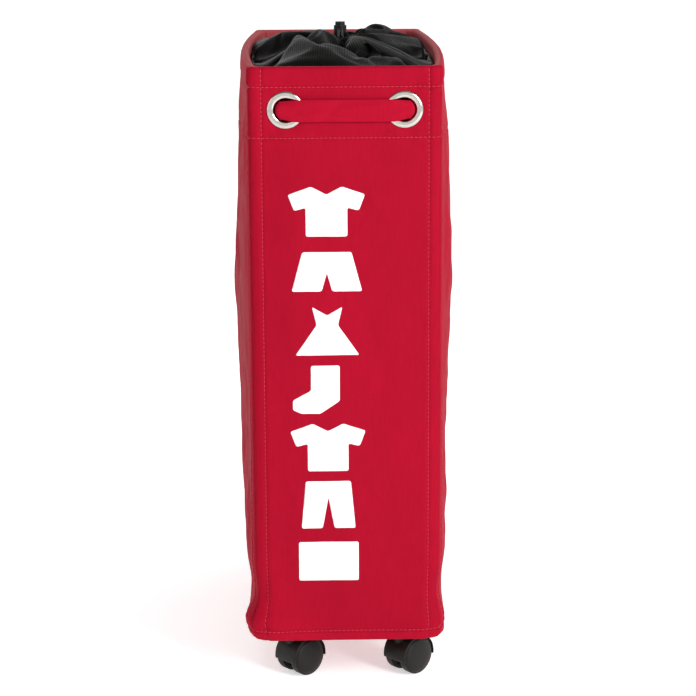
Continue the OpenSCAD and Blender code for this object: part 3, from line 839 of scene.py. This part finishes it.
def stitch_tree():
    """Geometry nodes that lay one thread stitch after another along the edges of a mesh."""
    tree = bpy.data.node_groups.new("Stitches along a seam", "GeometryNodeTree")
    face = tree.interface
    face.new_socket("Seam", in_out="INPUT", socket_type="NodeSocketGeometry")
    for name in ("Pitch", "Length", "Radius"):
        face.new_socket(name, in_out="INPUT", socket_type="NodeSocketFloat")
    face.new_socket("Thread", in_out="INPUT", socket_type="NodeSocketMaterial")
    face.new_socket("Stitches", in_out="OUTPUT", socket_type="NodeSocketGeometry")
    new = tree.nodes.new
    given, result = new("NodeGroupInput"), new("NodeGroupOutput")
    curve, even = new("GeometryNodeMeshToCurve"), new("GeometryNodeResampleCurve")
    even.mode = "LENGTH"
    ball, shape = new("GeometryNodeMeshUVSphere"), new("ShaderNodeCombineXYZ")
    ball.inputs["Segments"].default_value, ball.inputs["Rings"].default_value = 6, 5
    ball.inputs["Radius"].default_value = 1.0
    half = new("ShaderNodeMath")
    half.operation, half.inputs[1].default_value = "MULTIPLY", 0.5
    tangent, turn = new("GeometryNodeInputTangent"), new("FunctionNodeAlignRotationToVector")
    turn.axis = "Z"
    place, solid = new("GeometryNodeInstanceOnPoints"), new("GeometryNodeRealizeInstances")
    smooth, paint = new("GeometryNodeSetShadeSmooth"), new("GeometryNodeSetMaterial")
    for source, output, target, given_to in (
            (given, "Seam", curve, "Mesh"), (curve, "Curve", even, "Curve"), (given, "Pitch", even, "Length"),
            (given, "Length", half, 0), (given, "Radius", shape, "X"), (given, "Radius", shape, "Y"),
            (half, 0, shape, "Z"), (even, "Curve", place, "Points"), (ball, "Mesh", place, "Instance"),
            (tangent, "Tangent", turn, "Vector"), (turn, "Rotation", place, "Rotation"),
            (shape, "Vector", place, "Scale"), (place, "Instances", solid, "Geometry"),
            (solid, "Geometry", smooth, "Geometry"), (smooth, "Geometry", paint, "Geometry"),
            (given, "Thread", paint, "Material"), (paint, "Geometry", result, "Stitches")):
        tree.links.new(source.outputs[output], target.inputs[given_to])
    return tree


def sew(name, seams, body, material):
    """Stitches along several polylines, baked to one plain mesh."""
    tree = bpy.data.node_groups.get("Stitches along a seam") or stitch_tree()
    verts, edges = [], []
    for line in seams:
        start = len(verts)
        verts += [tuple(p) for p in line]
        edges += [(start + k, start + k + 1) for k in range(len(line) - 1)]
    mesh = bpy.data.meshes.new(name + "_seams")
    mesh.from_pydata(verts, edges, [])
    guide = add_object(name + "_seams", mesh)
    mod = guide.modifiers.new("Stitches", "NODES")
    mod.node_group = tree
    s = settings().stitch
    values = {"Pitch": s.pitch, "Length": s.length, "Radius": s.radius, "Thread": material}
    for item in tree.interface.items_tree:
        if item.item_type == "SOCKET" and item.in_out == "INPUT" and item.name in values:
            mod[item.identifier] = values[item.name]
    bpy.context.view_layer.update()
    graph = bpy.context.evaluated_depsgraph_get()
    baked = bpy.data.meshes.new_from_object(guide.evaluated_get(graph))
    bpy.data.objects.remove(guide)
    return finish_piece(add_object(name, baked), body, material)


class BIN_OT_stitches(bpy.types.Operator):
    """Sews the corner seams, the hem, the facing and the foot"""
    bl_idname = "laundry_bin.stitches"
    bl_label = "Stitches"

    def execute(self, context):
        b = settings().bag
        proud = 0.15 * MM
        for panel in PANELS:
            end_panel = panel in ENDS
            seams = []
            zs = np.arange(BASE_Z + 12 * MM, RIM_Z - 2 * MM, 3 * MM)
            for side in (-1, 1):
                s = np.array([column_s((side, b.seam_inset), z, end_panel) for z in zs])
                seams.append(bag_surface(panel, s, zs, proud))
            for z in (RIM_Z - b.hem, RIM_Z - b.facing, FOOT_SEAM_Z):
                run = half_run(z, end_panel)
                s = np.arange(-run, run, 3 * MM)
                line = bag_surface(panel, s, np.full(len(s), z), proud)
                clear = [math.hypot(abs(p[0]) - EYELET_X, p[2] - EYELET_Z) > EYELET_R for p in line]
                seams.append([p for p, ok in zip(line, clear) if ok or not end_panel])
            sew(panel + "_stitches", seams, "bag", finish("thread"))
        return {"FINISHED"}


# ---------------------------------------------------------------- the print

PRINT_OUTLINES = {
    "shirt": [(-0.2, 0.5), (-0.5, 0.34), (-0.42, 0.02), (-0.27, 0.08), (-0.27, -0.5),
              (0.27, -0.5), (0.27, 0.08), (0.42, 0.02), (0.5, 0.34), (0.2, 0.5), (0, 0.34)],
    "trousers": [(-0.3, 0.5), (-0.36, -0.5), (-0.08, -0.5), (0, 0.16), (0.08, -0.5), (0.36, -0.5), (0.3, 0.5)],
    "sock": [(-0.22, 0.5), (-0.22, -0.02), (-0.46, -0.22), (-0.46, -0.42), (-0.34, -0.5), (-0.1, -0.5),
             (0.16, -0.24), (0.16, 0.5)],
    "dress": [(-0.2, 0.5), (-0.14, 0.12), (-0.42, -0.5), (0.42, -0.5), (0.14, 0.12), (0.2, 0.5), (0, 0.32)],
    "shorts": [(-0.32, 0.4), (-0.46, -0.4), (-0.07, -0.4), (0, -0.02), (0.07, -0.4), (0.46, -0.4), (0.32, 0.4)],
    "towel": [(-0.4, 0.42), (-0.4, -0.42), (0.4, -0.42), (0.4, 0.42)],
}
PRINT_ORDER = ("towel", "trousers", "shirt", "sock", "dress", "shorts", "shirt")


class BIN_OT_print(bpy.types.Operator):
    """Prints the column of garment shapes on the front"""
    bl_idname = "laundry_bin.print"
    bl_label = "Print"

    def execute(self, context):
        low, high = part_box("front_print")
        width, middle = high.x - low.x, (low.x + high.x) / 2
        lowest, pitch, cell, grid = RIM_Z - 500 * MM, 57 * MM, 47 * MM, 4 * MM
        bm = bmesh.new()
        for k, name in enumerate(PRINT_ORDER):
            outline = [(width * px, cell * pz) for px, pz in PRINT_OUTLINES[name]]
            closed = rounded([outline[-1]] + outline + [outline[0]], 2.2 * MM, 4)[1:-1]
            z0 = lowest + pitch * k + cell / 2
            verts = [bm.verts.new((middle + px, 0, z0 + pz)) for px, pz in closed]
            edges = [bm.edges.new((a, b)) for a, b in zip(verts, verts[1:] + verts[:1])]
            bmesh.ops.triangle_fill(bm, edges=edges, use_beauty=True)
        for axis, first, last in ((0, low.x, high.x), (2, low.z, high.z)):
            for value in np.arange(first, last, grid):
                at, normal = Vector((0, 0, 0)), Vector((0, 0, 0))
                at[axis], normal[axis] = value, 1
                bmesh.ops.bisect_plane(bm, geom=bm.verts[:] + bm.edges[:] + bm.faces[:],
                                       plane_co=at, plane_no=normal)
        mesh = bpy.data.meshes.new("front_print_ink")
        bm.to_mesh(mesh)
        bm.free()
        co = np.array([v.co for v in mesh.vertices])
        on = bag_surface("front", co[:, 0], co[:, 2], 0.22 * MM)
        for v, p in zip(mesh.vertices, on):
            v.co = p
        obj = add_object("front_print_ink", mesh)
        face_along(mesh, 1, -1)
        shade_smooth(mesh)
        add_thickness(obj, 0.12 * MM)
        finish_piece(obj, "bag", finish("ink"), ["front_print"])
        return {"FINISHED"}


# ---------------------------------------------------------------- eyelets and handles

class BIN_OT_eyelets(bpy.types.Operator):
    """Builds the four rolled eyelets"""
    bl_idname = "laundry_bin.eyelets"
    bl_label = "Eyelets"

    def execute(self, context):
        for corner in CORNERS:
            low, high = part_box(corner + "_eyelet")
            front = "front" in corner
            outer, hole = (high.x - low.x) / 2, 10.5 * MM
            face = (-low.y if front else high.y) - HALF_DEPTH
            depth = HALF_DEPTH - (-high.y if front else low.y)
            mid, half = (outer + hole) / 2, (outer - hole) / 2
            ring = [(mid + half * math.cos(a), face * math.sin(a) ** 0.8) for a in np.linspace(0, math.pi, 25)]
            wall = [(hole, -depth * t) for t in (0.15, 0.5, 0.9)]
            rolled = ((0.3, 1, 0), (1.2, 1, -0.3), (2.2, 1, 0), (1.4, 0.93, 0), (0.8, 0.9, 0), (0.8, 0, -1.4))
            back = [(hole + r * MM, -depth * share + h * MM) for r, share, h in rolled]
            back += [(outer - 1 * MM, -1.2 * MM), (outer, -0.6 * MM)]
            x, z = (low.x + high.x) / 2, (low.z + high.z) / 2
            turn = Matrix.Rotation(math.radians(90 if front else -90), 4, "X")
            place = Matrix.Translation((x, (-1 if front else 1) * HALF_DEPTH, z)) @ turn
            verts, faces = lathe(ring + wall + back, place, 96, ring=True)
            obj = point_outwards(make_mesh(corner + "_ring", verts, faces))
            finish_piece(obj, "bag", finish("nickel"), [corner + "_eyelet"])
        return {"FINISHED"}


class BIN_OT_handles(bpy.types.Operator):
    """Builds the two strap handles, threaded through their eyelets"""
    bl_idname = "laundry_bin.handles"
    bl_label = "Handles"

    def execute(self, context):
        for end in ENDS:
            self.strap(end)
        return {"FINISHED"}

    def strap(self, end):
        """A flat strap across the end that curls to a half round where its legs pass the eyelets."""
        low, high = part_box(end + "_handle")
        sign = -1 if end == "front" else 1
        flat_out = max(abs(low.y), abs(high.y)) - 1.1 * MM
        inner = min(abs(low.y), abs(high.y)) - 0.5 * MM
        width, leg_r, bend, across = 20 * MM, 8.8 * MM, 3.2 * MM, 17
        leg_x, curl_x = EYELET_X + leg_r, EYELET_X - EYELET_R * 0.75
        path = [((leg_x - bend) * t, flat_out) for t in np.linspace(0, 1, 41)]
        path += [(leg_x - bend + bend * math.sin(a), flat_out - bend * (1 - math.cos(a)))
                 for a in np.radians(np.linspace(12, 90, 8))]
        path += [(leg_x, y) for y in np.linspace(flat_out - bend - 2 * MM, inner, 10)]
        path = [(-x, y) for x, y in reversed(path[1:])] + path
        verts, uvs, run = [], [], 0.0
        for i, (x, y) in enumerate(path):
            if i:
                run += math.hypot(x - path[i - 1][0], y - path[i - 1][1])
            before, after = path[max(0, i - 1)], path[min(len(path) - 1, i + 1)]
            t = Vector((after[0] - before[0], after[1] - before[1])).normalized()
            side = 1 if x > 0 else -1
            curl = float(ease((abs(x) - curl_x) / (leg_x - curl_x)))
            for k in range(across):
                v = 2 * k / (across - 1) - 1
                phi = v * math.radians(58)
                z_flat, z_arc = v * width / 2, leg_r * math.sin(phi)
                z = z_flat + (z_arc - z_flat) * curl
                into = leg_r * (1 - math.cos(phi)) * curl
                crease = math.exp(-((x + 0.012 - 0.01 * v) / 0.006) ** 2)
                fold = 0.45 * math.sin(3.1 * v + 44 * x + 0.6) + 0.3 * math.cos(5.3 * v - 80 * x)
                fold += 0.9 * (1 - v * v) - 0.5 * crease
                fold -= 0.24 * math.cos(min(1.0, abs(x) / EYELET_X) * math.pi / 2) * (0.6 + 0.4 * v)
                py = y + (fold * MM - into * 0.9) * abs(t.x)
                verts.append((x - side * into * abs(t.y), sign * py, EYELET_Z + z - 0.6 * MM * (1 - curl)))
                uvs.append((run, v * width / 2))
        faces = grid_faces(len(path), across)
        obj = make_mesh(end + "_strap", verts, faces, uvs)
        if obj.data.polygons[len(faces) // 2].normal.y * sign < 0:
            obj.data.flip_normals()
        add_thickness(obj, 1.7 * MM, 0.0)
        soft = obj.modifiers.new("Soft edge", "BEVEL")
        soft.width, soft.segments, soft.limit_method = 0.5 * MM, 2, "ANGLE"
        finish_piece(obj, end + "_strap", finish("strap"), [end + "_handle"])
        self.stops(end, inner, sign)

    def stops(self, end, inner, sign):
        """The two sewn discs that keep the strap's ends inside the bag."""
        parts = []
        for side in (-1, 1):
            place = Matrix.Translation((side * EYELET_X, sign * inner, EYELET_Z))
            place = place @ Matrix.Rotation(math.radians(90 if sign > 0 else -90), 4, "X")
            disc = rounded([(0, 0), (13 * MM, 0), (13 * MM, 2.5 * MM), (0, 2.5 * MM)], 0.9 * MM)
            parts.append(lathe(disc, place, 48))
        obj = point_outwards(join_parts(end + "_strap_stops", parts))
        finish_piece(obj, end + "_strap", finish("strap"))


# ---------------------------------------------------------------- casters

def caster_place(corner):
    """Matrix from a caster's own axes to the frame: swivel at the origin, axle along X, trail towards +Y."""
    joints = {j["name"]: j for j in frame["joints"]}
    swivel, roll = joints[corner + "_swivel"], joints[corner + "_roll_a"]
    axis = Vector(roll["axis"])
    place = Matrix.Rotation(math.atan2(axis.y, axis.x), 4, "Z")
    place.translation = Vector((swivel["pos_m"][0], swivel["pos_m"][1], 0))
    trail = (Vector(roll["pos_m"]).xy - Vector(swivel["pos_m"]).xy).length
    return place, trail, roll["pos_m"][2]


class BIN_OT_casters(bpy.types.Operator):
    """Builds the hoods and the twin wheels of the four casters"""
    bl_idname = "laundry_bin.casters"
    bl_label = "Casters"

    def execute(self, context):
        for corner in CORNERS:
            place, trail, axle_z = caster_place(corner)
            self.hood(corner, place, trail, axle_z)
            for side, letter in ((-1, "a"), (1, "b")):
                self.wheel(corner, place, trail, axle_z, side, letter)
        return {"FINISHED"}

    def wheel(self, corner, place, trail, axle_z, side, letter):
        """One half of a twin wheel: ribbed tread, domed outer face and a hollow inner one."""
        r, half, tread = axle_z, 17 * MM, 14 * MM
        outer = [(r - 1.1 * MM, tread), (r - 1.35 * MM, tread - 0.15 * MM), (r - 1.9 * MM, tread + 0.1 * MM)]
        dome = [((r - 1.9 * MM) * math.cos(a), tread + 0.2 * MM + (half - tread - 0.2 * MM) * math.sin(a))
                for a in np.radians([4, 10, 18, 28, 40, 52, 64, 76, 84])]
        band = [(2.6 * MM, 6.3 * MM), (7.6 * MM, 6.3 * MM, 0.4 * MM), (7.9 * MM, 11 * MM, 0.6 * MM),
                (r - 3.6 * MM, 11 * MM, 0.6 * MM), (r - 3.4 * MM, 6.2 * MM, 0.4 * MM), (r, 6.2 * MM, 0.9 * MM)]
        grip = []
        for x in np.linspace(8.2 * MM, tread - 2 * MM, 3):
            grip += [(r, x - 0.35 * MM, 0.1 * MM), (r - 0.35 * MM, x, 0.1 * MM), (r, x + 0.35 * MM, 0.1 * MM)]
        profile = rounded(band + grip + [(r, tread - 0.2 * MM, 0.6 * MM)] + outer[:1], 0.3 * MM, 3)
        profile = profile + outer[1:] + dome + [(0.0, half)]
        turn = Matrix.Rotation(math.radians(90 * side), 4, "Y")
        at = place @ Matrix.Translation((0, trail, axle_z)) @ turn
        obj = point_outwards(make_mesh(f"{corner}_twin_wheel_{letter}", *lathe(profile, at, 96)))
        finish_piece(obj, f"{corner}_wheel_{letter}", finish("caster"),
                     [f"{corner}_wheel_{letter}"])

    def hood(self, corner, place, trail, axle_z):
        """The hood over both wheels, with its web, the boss of the stem, the hub and the stem's well."""
        inner, outer, half = axle_z + 0.6 * MM, axle_z + 2.2 * MM, 14.5 * MM
        at = place @ Matrix.Translation((0, trail, axle_z))
        section = rounded([(inner, 0), (inner, half, 0.35 * MM), (inner + 0.5 * MM, half + 0.25 * MM, 0.3 * MM),
                           (outer - 0.5 * MM, half + 0.1 * MM, 0.6 * MM), (outer, half - 1.2 * MM, 1.2 * MM),
                           (outer + 0.15 * MM, 0)], 0.4 * MM, 3)
        section = section + [(r, -x) for r, x in reversed(section[1:-1])]
        verts, steps, edge = [], 60, math.radians(8)
        for k in range(steps + 1):
            a = -edge + (math.pi + 2 * edge) * k / steps
            for r, x in section:
                verts.append(at @ Vector((x, r * math.cos(a), r * math.sin(a))))
        n = len(section)
        faces = grid_faces(steps + 1, n, closed=True)
        faces += [list(range(n)), [steps * n + k for k in range(n)]]
        boss = rounded([(0, 30 * MM), (7.5 * MM, 30 * MM, 0), (7.5 * MM, 42.2 * MM, 0.8 * MM),
                        (4.1 * MM, 42.2 * MM, 0.3 * MM), (4.1 * MM, 22 * MM, 0), (0, 22 * MM)], 0.5 * MM)
        parts = [(verts, faces), self.web(at, inner), lathe(boss[1:], place, 64)]
        hub = Matrix.Rotation(math.radians(90), 4, "Y")
        core = rounded([(0, -5.9 * MM), (5.6 * MM, -5.9 * MM), (5.6 * MM, 5.9 * MM), (0, 5.9 * MM)], 0.5 * MM)
        parts.append(lathe(core, at @ hub, 48))
        well = rounded([(0, 17 * MM), (5.6 * MM, 17 * MM), (5.6 * MM, 34 * MM), (0, 34 * MM)], 0.5 * MM)
        parts.append(lathe(well, place, 48))
        obj = point_outwards(join_parts(corner + "_caster_hood", parts))
        finish_piece(obj, corner + "_caster", finish("caster"), [corner + "_hood"])

    def web(self, at, reach):
        """The upright plate between the two wheels."""
        outline = [(reach * math.cos(a), reach * math.sin(a))
                   for a in np.linspace(math.radians(-6), math.radians(186), 40)]
        outline += [(-5 * MM, -5 * MM), (0, -6.4 * MM), (5 * MM, -5 * MM)]
        verts = [at @ Vector((x, y, z)) for x in (-2.4 * MM, 2.4 * MM) for y, z in outline]
        n = len(outline)
        faces = [list(range(n)), [n + k for k in range(n)]]
        faces += [(k, (k + 1) % n, n + (k + 1) % n, n + k) for k in range(n)]
        return verts, faces


# ---------------------------------------------------------------- the gathered cover

def cover_rim(t):
    """Where the cover is sewn to the facing, t from 0 to 1 around the bag."""
    below_rim, side_gap, end_gap, r = 15 * MM, 9.3 * MM, 7.8 * MM, 17 * MM
    z = RIM_Z - below_rim
    hx, hy = corner_x(z) - side_gap, HALF_DEPTH - end_gap
    lengths = [2 * (hx - r), math.pi * r / 2, 2 * (hy - r), math.pi * r / 2] * 2
    at, k = (t % 1.0) * sum(lengths), 0
    while at > lengths[k]:
        at -= lengths[k]
        k += 1
    share = at / lengths[k]
    if k % 4 == 0:
        p = Vector((-(hx - r) + 2 * (hx - r) * share, -hy))
    elif k % 4 == 1:
        a = share * math.pi / 2
        p = Vector((hx - r + r * math.sin(a), -hy + r - r * math.cos(a)))
    elif k % 4 == 2:
        y = -(hy - r) + 2 * (hy - r) * share
        p = Vector((hx + side_bulge(z) * (1 - (y / (hy - r)) ** 2), y))
    else:
        a = share * math.pi / 2
        p = Vector((hx - r + r * math.cos(a), hy - r + r * math.sin(a)))
    if k >= 4:
        p = -p
    return Vector((p.x, p.y, z)), sum(lengths)


class BIN_OT_cover(bpy.types.Operator):
    """Gathers the mesh cover over the mouth of the bag by cloth simulation"""
    bl_idname = "laundry_bin.cover"
    bl_label = "Mesh cover"

    around, rows = 260, 46
    slack = 43 * MM
    frames, gathered_by = 60, 36

    def execute(self, context):
        rim = [cover_rim(j / self.around)[0] for j in range(self.around)]
        perimeter = cover_rim(0)[1]
        tube, start, cut = [], [], 0.0
        for i in range(self.rows + 1):
            v = i / self.rows
            for j, p in enumerate(rim):
                mouth = self.mouth_point(p, j / self.around)
                length = (mouth.xy - p.xy).length + self.slack
                tube.append((p.x, p.y, p.z + length * v))
                start.append(self.start_point(p, mouth, v, j))
                if i == 0:
                    cut += length * perimeter / self.around
        uvs = [(perimeter * j / self.around, p[2] - RIM_Z) for i in range(self.rows + 1)
               for j, p in enumerate(tube[i * self.around:(i + 1) * self.around])]
        faces = grid_faces(self.rows + 1, self.around, closed=True)
        obj = make_mesh("gathered_cover", tube, faces, uvs)
        self.fix_seam_uv(obj, perimeter)
        self.simulate(context, obj, start)
        soft = obj.modifiers.new("Smooth", "SUBSURF")
        soft.levels = soft.render_levels = 1
        finish_piece(obj, "bag", finish("mesh"), ["mesh_cover", "gather_casing"])
        return {"FINISHED"}

    def start_point(self, p, mouth, v, j):
        """A pleated dome with about the cloth's own area, from which the simulation starts."""
        c = settings().cover
        q = p.xy.lerp(mouth.xy, v)
        rise = c.puff * math.sin(math.pi * min(1.0, v * 1.02)) ** 0.4 + (mouth.z - p.z) * ease(v)
        pleat = math.tau * q.length / c.pleats * 0.25
        depth = pleat * math.sqrt(max(0.0, (1 / max(0.2, 1 - 0.85 * v)) ** 2 - 1))
        depth *= 1 - ease((v - 0.9) / 0.1)
        wave = depth * math.sin(math.tau * c.pleats * j / self.around)
        return (q.x, q.y, p.z + rise + 0.5 * wave)

    def mouth_point(self, p, t):
        """Where a thread from rim point p ends at the pleated mouth."""
        c = settings().cover
        a = math.atan2(p.y, p.x)
        r = c.mouth + 5 * MM * math.cos(math.tau * c.pleats * t)
        return Vector((r * math.cos(a), r * math.sin(a), MOUTH_Z))

    def fix_seam_uv(self, obj, perimeter):
        """Lets the last column of faces run on past the perimeter instead of back to 0."""
        layer = obj.data.uv_layers[0].data
        for poly in obj.data.polygons:
            us = [layer[i].uv.x for i in poly.loop_indices]
            if max(us) - min(us) > perimeter / 2:
                for i in poly.loop_indices:
                    if layer[i].uv.x < perimeter / 2:
                        layer[i].uv.x += perimeter

    def simulate(self, context, obj, gathered):
        """Draws the tube in to its mouth while air lifts it, and keeps the result as a plain mesh."""
        scene = context.scene
        obj.shape_key_add(name="Basis")
        key = obj.shape_key_add(name="Gathered")
        for point, p in zip(key.data, gathered):
            point.co = p
        last = self.frames
        for frame_no, value in ((1, 0.0), (self.gathered_by, 1.0)):
            key.value = value
            key.keyframe_insert("value", frame=frame_no)
        pin = obj.vertex_groups.new(name="Pin")
        n = len(obj.data.vertices)
        pin.add(list(range(2 * self.around)) + list(range(n - self.around, n)), 1.0, "REPLACE")
        cloth = obj.modifiers.new("Cloth", "CLOTH")
        cs = cloth.settings
        cs.vertex_group_mass = "Pin"
        puff = obj.vertex_groups.new(name="Puff")
        for i in range(self.rows + 1):
            weight = 1 - 0.93 * float(ease((i / self.rows - 0.2) / 0.38))
            puff.add(list(range(i * self.around, (i + 1) * self.around)), weight, "REPLACE")
        cs.vertex_group_pressure = "Puff"
        for setting, value in (("quality", 6), ("mass", 0.12), ("tension_stiffness", 12),
                               ("compression_stiffness", 12), ("shear_stiffness", 4),
                               ("bending_stiffness", 1.2), ("air_damping", 3), ("use_pressure", True),
                               ("uniform_pressure_force", 7.0)):
            setattr(cs, setting, value)
        cs.effector_weights.gravity = 0.12
        cloth.collision_settings.use_collision = False
        cloth.point_cache.frame_start, cloth.point_cache.frame_end = 1, last
        scene.frame_start, scene.frame_end = 1, last
        for f in range(1, last + 1):
            scene.frame_set(f)
        graph = context.evaluated_depsgraph_get()
        done = bpy.data.meshes.new_from_object(obj.evaluated_get(graph))
        old = obj.data
        obj.modifiers.remove(cloth)
        obj.animation_data_clear()
        obj.data = done
        bpy.data.meshes.remove(old)
        obj.vertex_groups.clear()
        scene.frame_set(1)


class BIN_OT_cord_lock(bpy.types.Operator):
    """Builds the drawstring with its knot and finishes the cord lock"""
    bl_idname = "laundry_bin.cord_lock"
    bl_label = "Cord lock"

    def execute(self, context):
        for node, name in (("cord_lock_barrel", "lock"), ("cord_lock_button", "lock")):
            dress_node(node, name)
        self.spring()
        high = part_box("drawstring")[1]
        radius, apart, knot_r = 1.2 * MM, 1.4 * MM, 3.4 * MM
        top, ring_r = high.z - knot_r, high.x - radius
        end_y = high.y - 2 * knot_r
        leave = math.radians(12)
        ring = [Vector((ring_r * math.sin(a), ring_r * math.cos(a), MOUTH_Z))
                for a in np.linspace(leave, math.tau - leave, 96)]
        lead = [Vector((apart, y, top)) for y in np.linspace(end_y + knot_r, 18.5 * MM, 12)]
        slope = [lead[-1].lerp(ring[0], ease(t)) for t in (0.25, 0.5, 0.75)]
        way = lead + slope + ring + [Vector((-p.x, p.y, p.z)) for p in reversed(lead + slope)]
        middle = Vector((0, end_y + knot_r, top))
        turns = [middle + Vector((math.sin(a) + 2 * math.sin(2 * a), math.cos(a) - 2 * math.cos(2 * a),
                                  -math.sin(3 * a))) * (0.68 * MM) for a in np.linspace(0, math.tau, 60)[:-1]]
        verts, faces, uvs = [], [], []
        for path, closed in ((way, False), (turns, True)):
            self.braid(path, closed, radius, verts, faces, uvs)
        obj = make_mesh("drawstring_braid", verts, faces, uvs)
        finish_piece(obj, "bag", finish("cord"), ["drawstring"])
        return {"FINISHED"}

    def spring(self):
        """The coil under the button, copied from the frame and given its steel finish."""
        coil = add_object("lock_spring_coil", frame["nodes"]["cord_lock_spring"].data.copy())
        with edited(coil.data) as bm:
            merge_doubles(bm)
        shade_smooth(coil.data)
        finish_piece(coil, "bag", finish("steel"), ["cord_lock_spring"])
        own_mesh(coil)

    def braid(self, path, closed, radius, verts, faces, uvs, sides=14):
        """Adds a round cord along a path to verts, faces and uvs."""
        start, n, run = len(verts), len(path), 0.0
        for i, p in enumerate(path):
            before = path[i - 1] if closed or i else p
            after = path[(i + 1) % n] if closed or i < n - 1 else p
            along = (after - before).normalized()
            side = along.cross(Vector((0, 0, 1))).normalized()
            up = side.cross(along)
            run += (p - path[i - 1]).length if i else 0.0
            for k in range(sides):
                a = math.tau * k / sides
                verts.append(p + (side * math.cos(a) + up * math.sin(a)) * radius)
                uvs.append((run, radius * a))
        faces += [tuple(start + k for k in face) for face in grid_faces(n, sides, closed=True, ring=closed)]
        if not closed:
            faces.append([start + k for k in reversed(range(sides))])
            faces.append([start + (n - 1) * sides + k for k in range(sides)])


# ---------------------------------------------------------------- what stays as the frame has it

def dress_node(node, name):
    mesh = frame["nodes"][node].data
    mesh.materials.clear()
    mesh.materials.append(finish(name))


class BIN_OT_frame_parts(bpy.types.Operator):
    """Gives the inner frame, its fittings and the caster metalwork their finishes"""
    bl_idname = "laundry_bin.frame_parts"
    bl_label = "Frame parts"

    def execute(self, context):
        finishes = {
            "board": ["base_board"],
            "sheet": ["front_stiffener", "back_stiffener"],
            "steel": ["rim_frame", "socket_screws"]
            + [c + p for c in CORNERS for p in ("_stay", "_stem", "_axle")],
            "fitting": ["rim_clips", "stay_sockets", "caster_sockets"],
            "nickel": ["eyelet_washers"],
        }
        for name, nodes in finishes.items():
            for node in nodes:
                dress_node(node, name)
        return {"FINISHED"}


# ---------------------------------------------------------------- stage

class BIN_OT_stage(bpy.types.Operator):
    """Sets up the pale studio, its soft lights and the camera"""
    bl_idname = "laundry_bin.stage"
    bl_label = "Stage"

    def execute(self, context):
        scene = context.scene
        scene.view_settings.view_transform = "Standard"
        self.studio()
        for light in (("key", (1.7, -2.2, 1.5), 0.33, (0.6, 1.5), 78),
                      ("fill", (-2.4, -1.6, 1.0), 0.3, (1.4, 1.6), 3),
                      ("top", (0.1, 0.5, 2.8), 0.3, (2.2, 2.2), 14),
                      ("back", (-0.8, 2.6, 1.6), 0.35, (1.8, 1.4), 10)):
            self.light(*light)
        world = bpy.data.worlds.new("studio")
        scene.world = world
        world.use_nodes = True
        sky = world.node_tree.nodes["Background"].inputs
        sky["Color"].default_value, sky["Strength"].default_value = (1, 1, 1, 1), 0.24
        self.camera(scene)
        return {"FINISHED"}

    def studio(self):
        """A round floor that rises to a wall far from the bin."""
        flat, wall = 6.5, 9.0
        profile = [(0.0, 0.0), (2.0, 0.0), (flat, 0.0)]
        profile += [(flat + (wall - flat) * math.sin(a), (wall - flat) * (1 - math.cos(a)))
                    for a in np.radians([10, 25, 40, 55, 70, 90])] + [(wall, 7.0)]
        verts, faces = lathe(profile, Matrix.Identity(4), 96)
        obj = make_mesh("studio_floor", verts, faces[:-1])
        obj.data.materials.append(studio_floor())

    def light(self, name, place, aim_z, size, power):
        """A soft panel aimed at a point on the bin's middle line."""
        data = bpy.data.lights.new(name, "AREA")
        data.shape, data.energy = "RECTANGLE", power
        data.size, data.size_y = size
        obj = add_object(name, data)
        obj.location = place
        obj.rotation_euler = (Vector((0, 0, aim_z)) - Vector(place)).to_track_quat("-Z", "Y").to_euler()

    def camera(self, scene):
        """Looks slightly down at the front, from just left of the middle."""
        data = bpy.data.cameras.new("camera")
        focal_px, picture = 2188.0, 696.0
        data.sensor_width = 36.0
        data.lens = focal_px / picture * data.sensor_width
        data.clip_start, data.clip_end = 0.05, 60.0
        obj = add_object("camera", data)
        yaw, pitch, roll = math.radians(1.21), math.radians(13.15), math.radians(0.3)
        forward = Vector((math.sin(yaw) * math.cos(pitch), math.cos(yaw) * math.cos(pitch), -math.sin(pitch)))
        turn = forward.to_track_quat("-Z", "Y").to_matrix().to_4x4()
        obj.matrix_world = Matrix.Translation((-0.041, -2.214, 0.811)) @ turn @ Matrix.Rotation(-roll, 4, "Z")
        scene.camera = obj


class BIN_PT_panel(bpy.types.Panel):
    """Lists the steps that build the bin"""
    bl_idname = "BIN_PT_panel"
    bl_label = "Laundry Bin"
    bl_space_type = "VIEW_3D"
    bl_region_type = "UI"
    bl_category = "Laundry Bin"

    def draw(self, context):
        for operator in OPERATORS:
            self.layout.operator(operator.bl_idname)
        for group in (settings().bag, settings().stitch, settings().cover, settings().colours):
            box = self.layout.box()
            for name in group.__annotations__:
                box.prop(group, name)


OPERATORS = (BIN_OT_stage, BIN_OT_frame_parts, BIN_OT_walls, BIN_OT_facing, BIN_OT_base, BIN_OT_stitches,
             BIN_OT_print, BIN_OT_eyelets, BIN_OT_handles, BIN_OT_casters, BIN_OT_cover, BIN_OT_cord_lock)
CLASSES = (BinBagSizes, BinStitchSizes, BinCoverSizes, BinColours, BinSettings) + OPERATORS + (BIN_PT_panel,)


def register():
    for cls in CLASSES:
        bpy.utils.register_class(cls)
    bpy.types.Scene.laundry_bin = bpy.props.PointerProperty(type=BinSettings)


def unregister():
    del bpy.types.Scene.laundry_bin
    for cls in reversed(CLASSES):
        bpy.utils.unregister_class(cls)


def main():
    register()
    for operator in OPERATORS:
        module, name = operator.bl_idname.split(".")
        getattr(getattr(bpy.ops, module), name)()


if __name__ == "__main__":
    main()
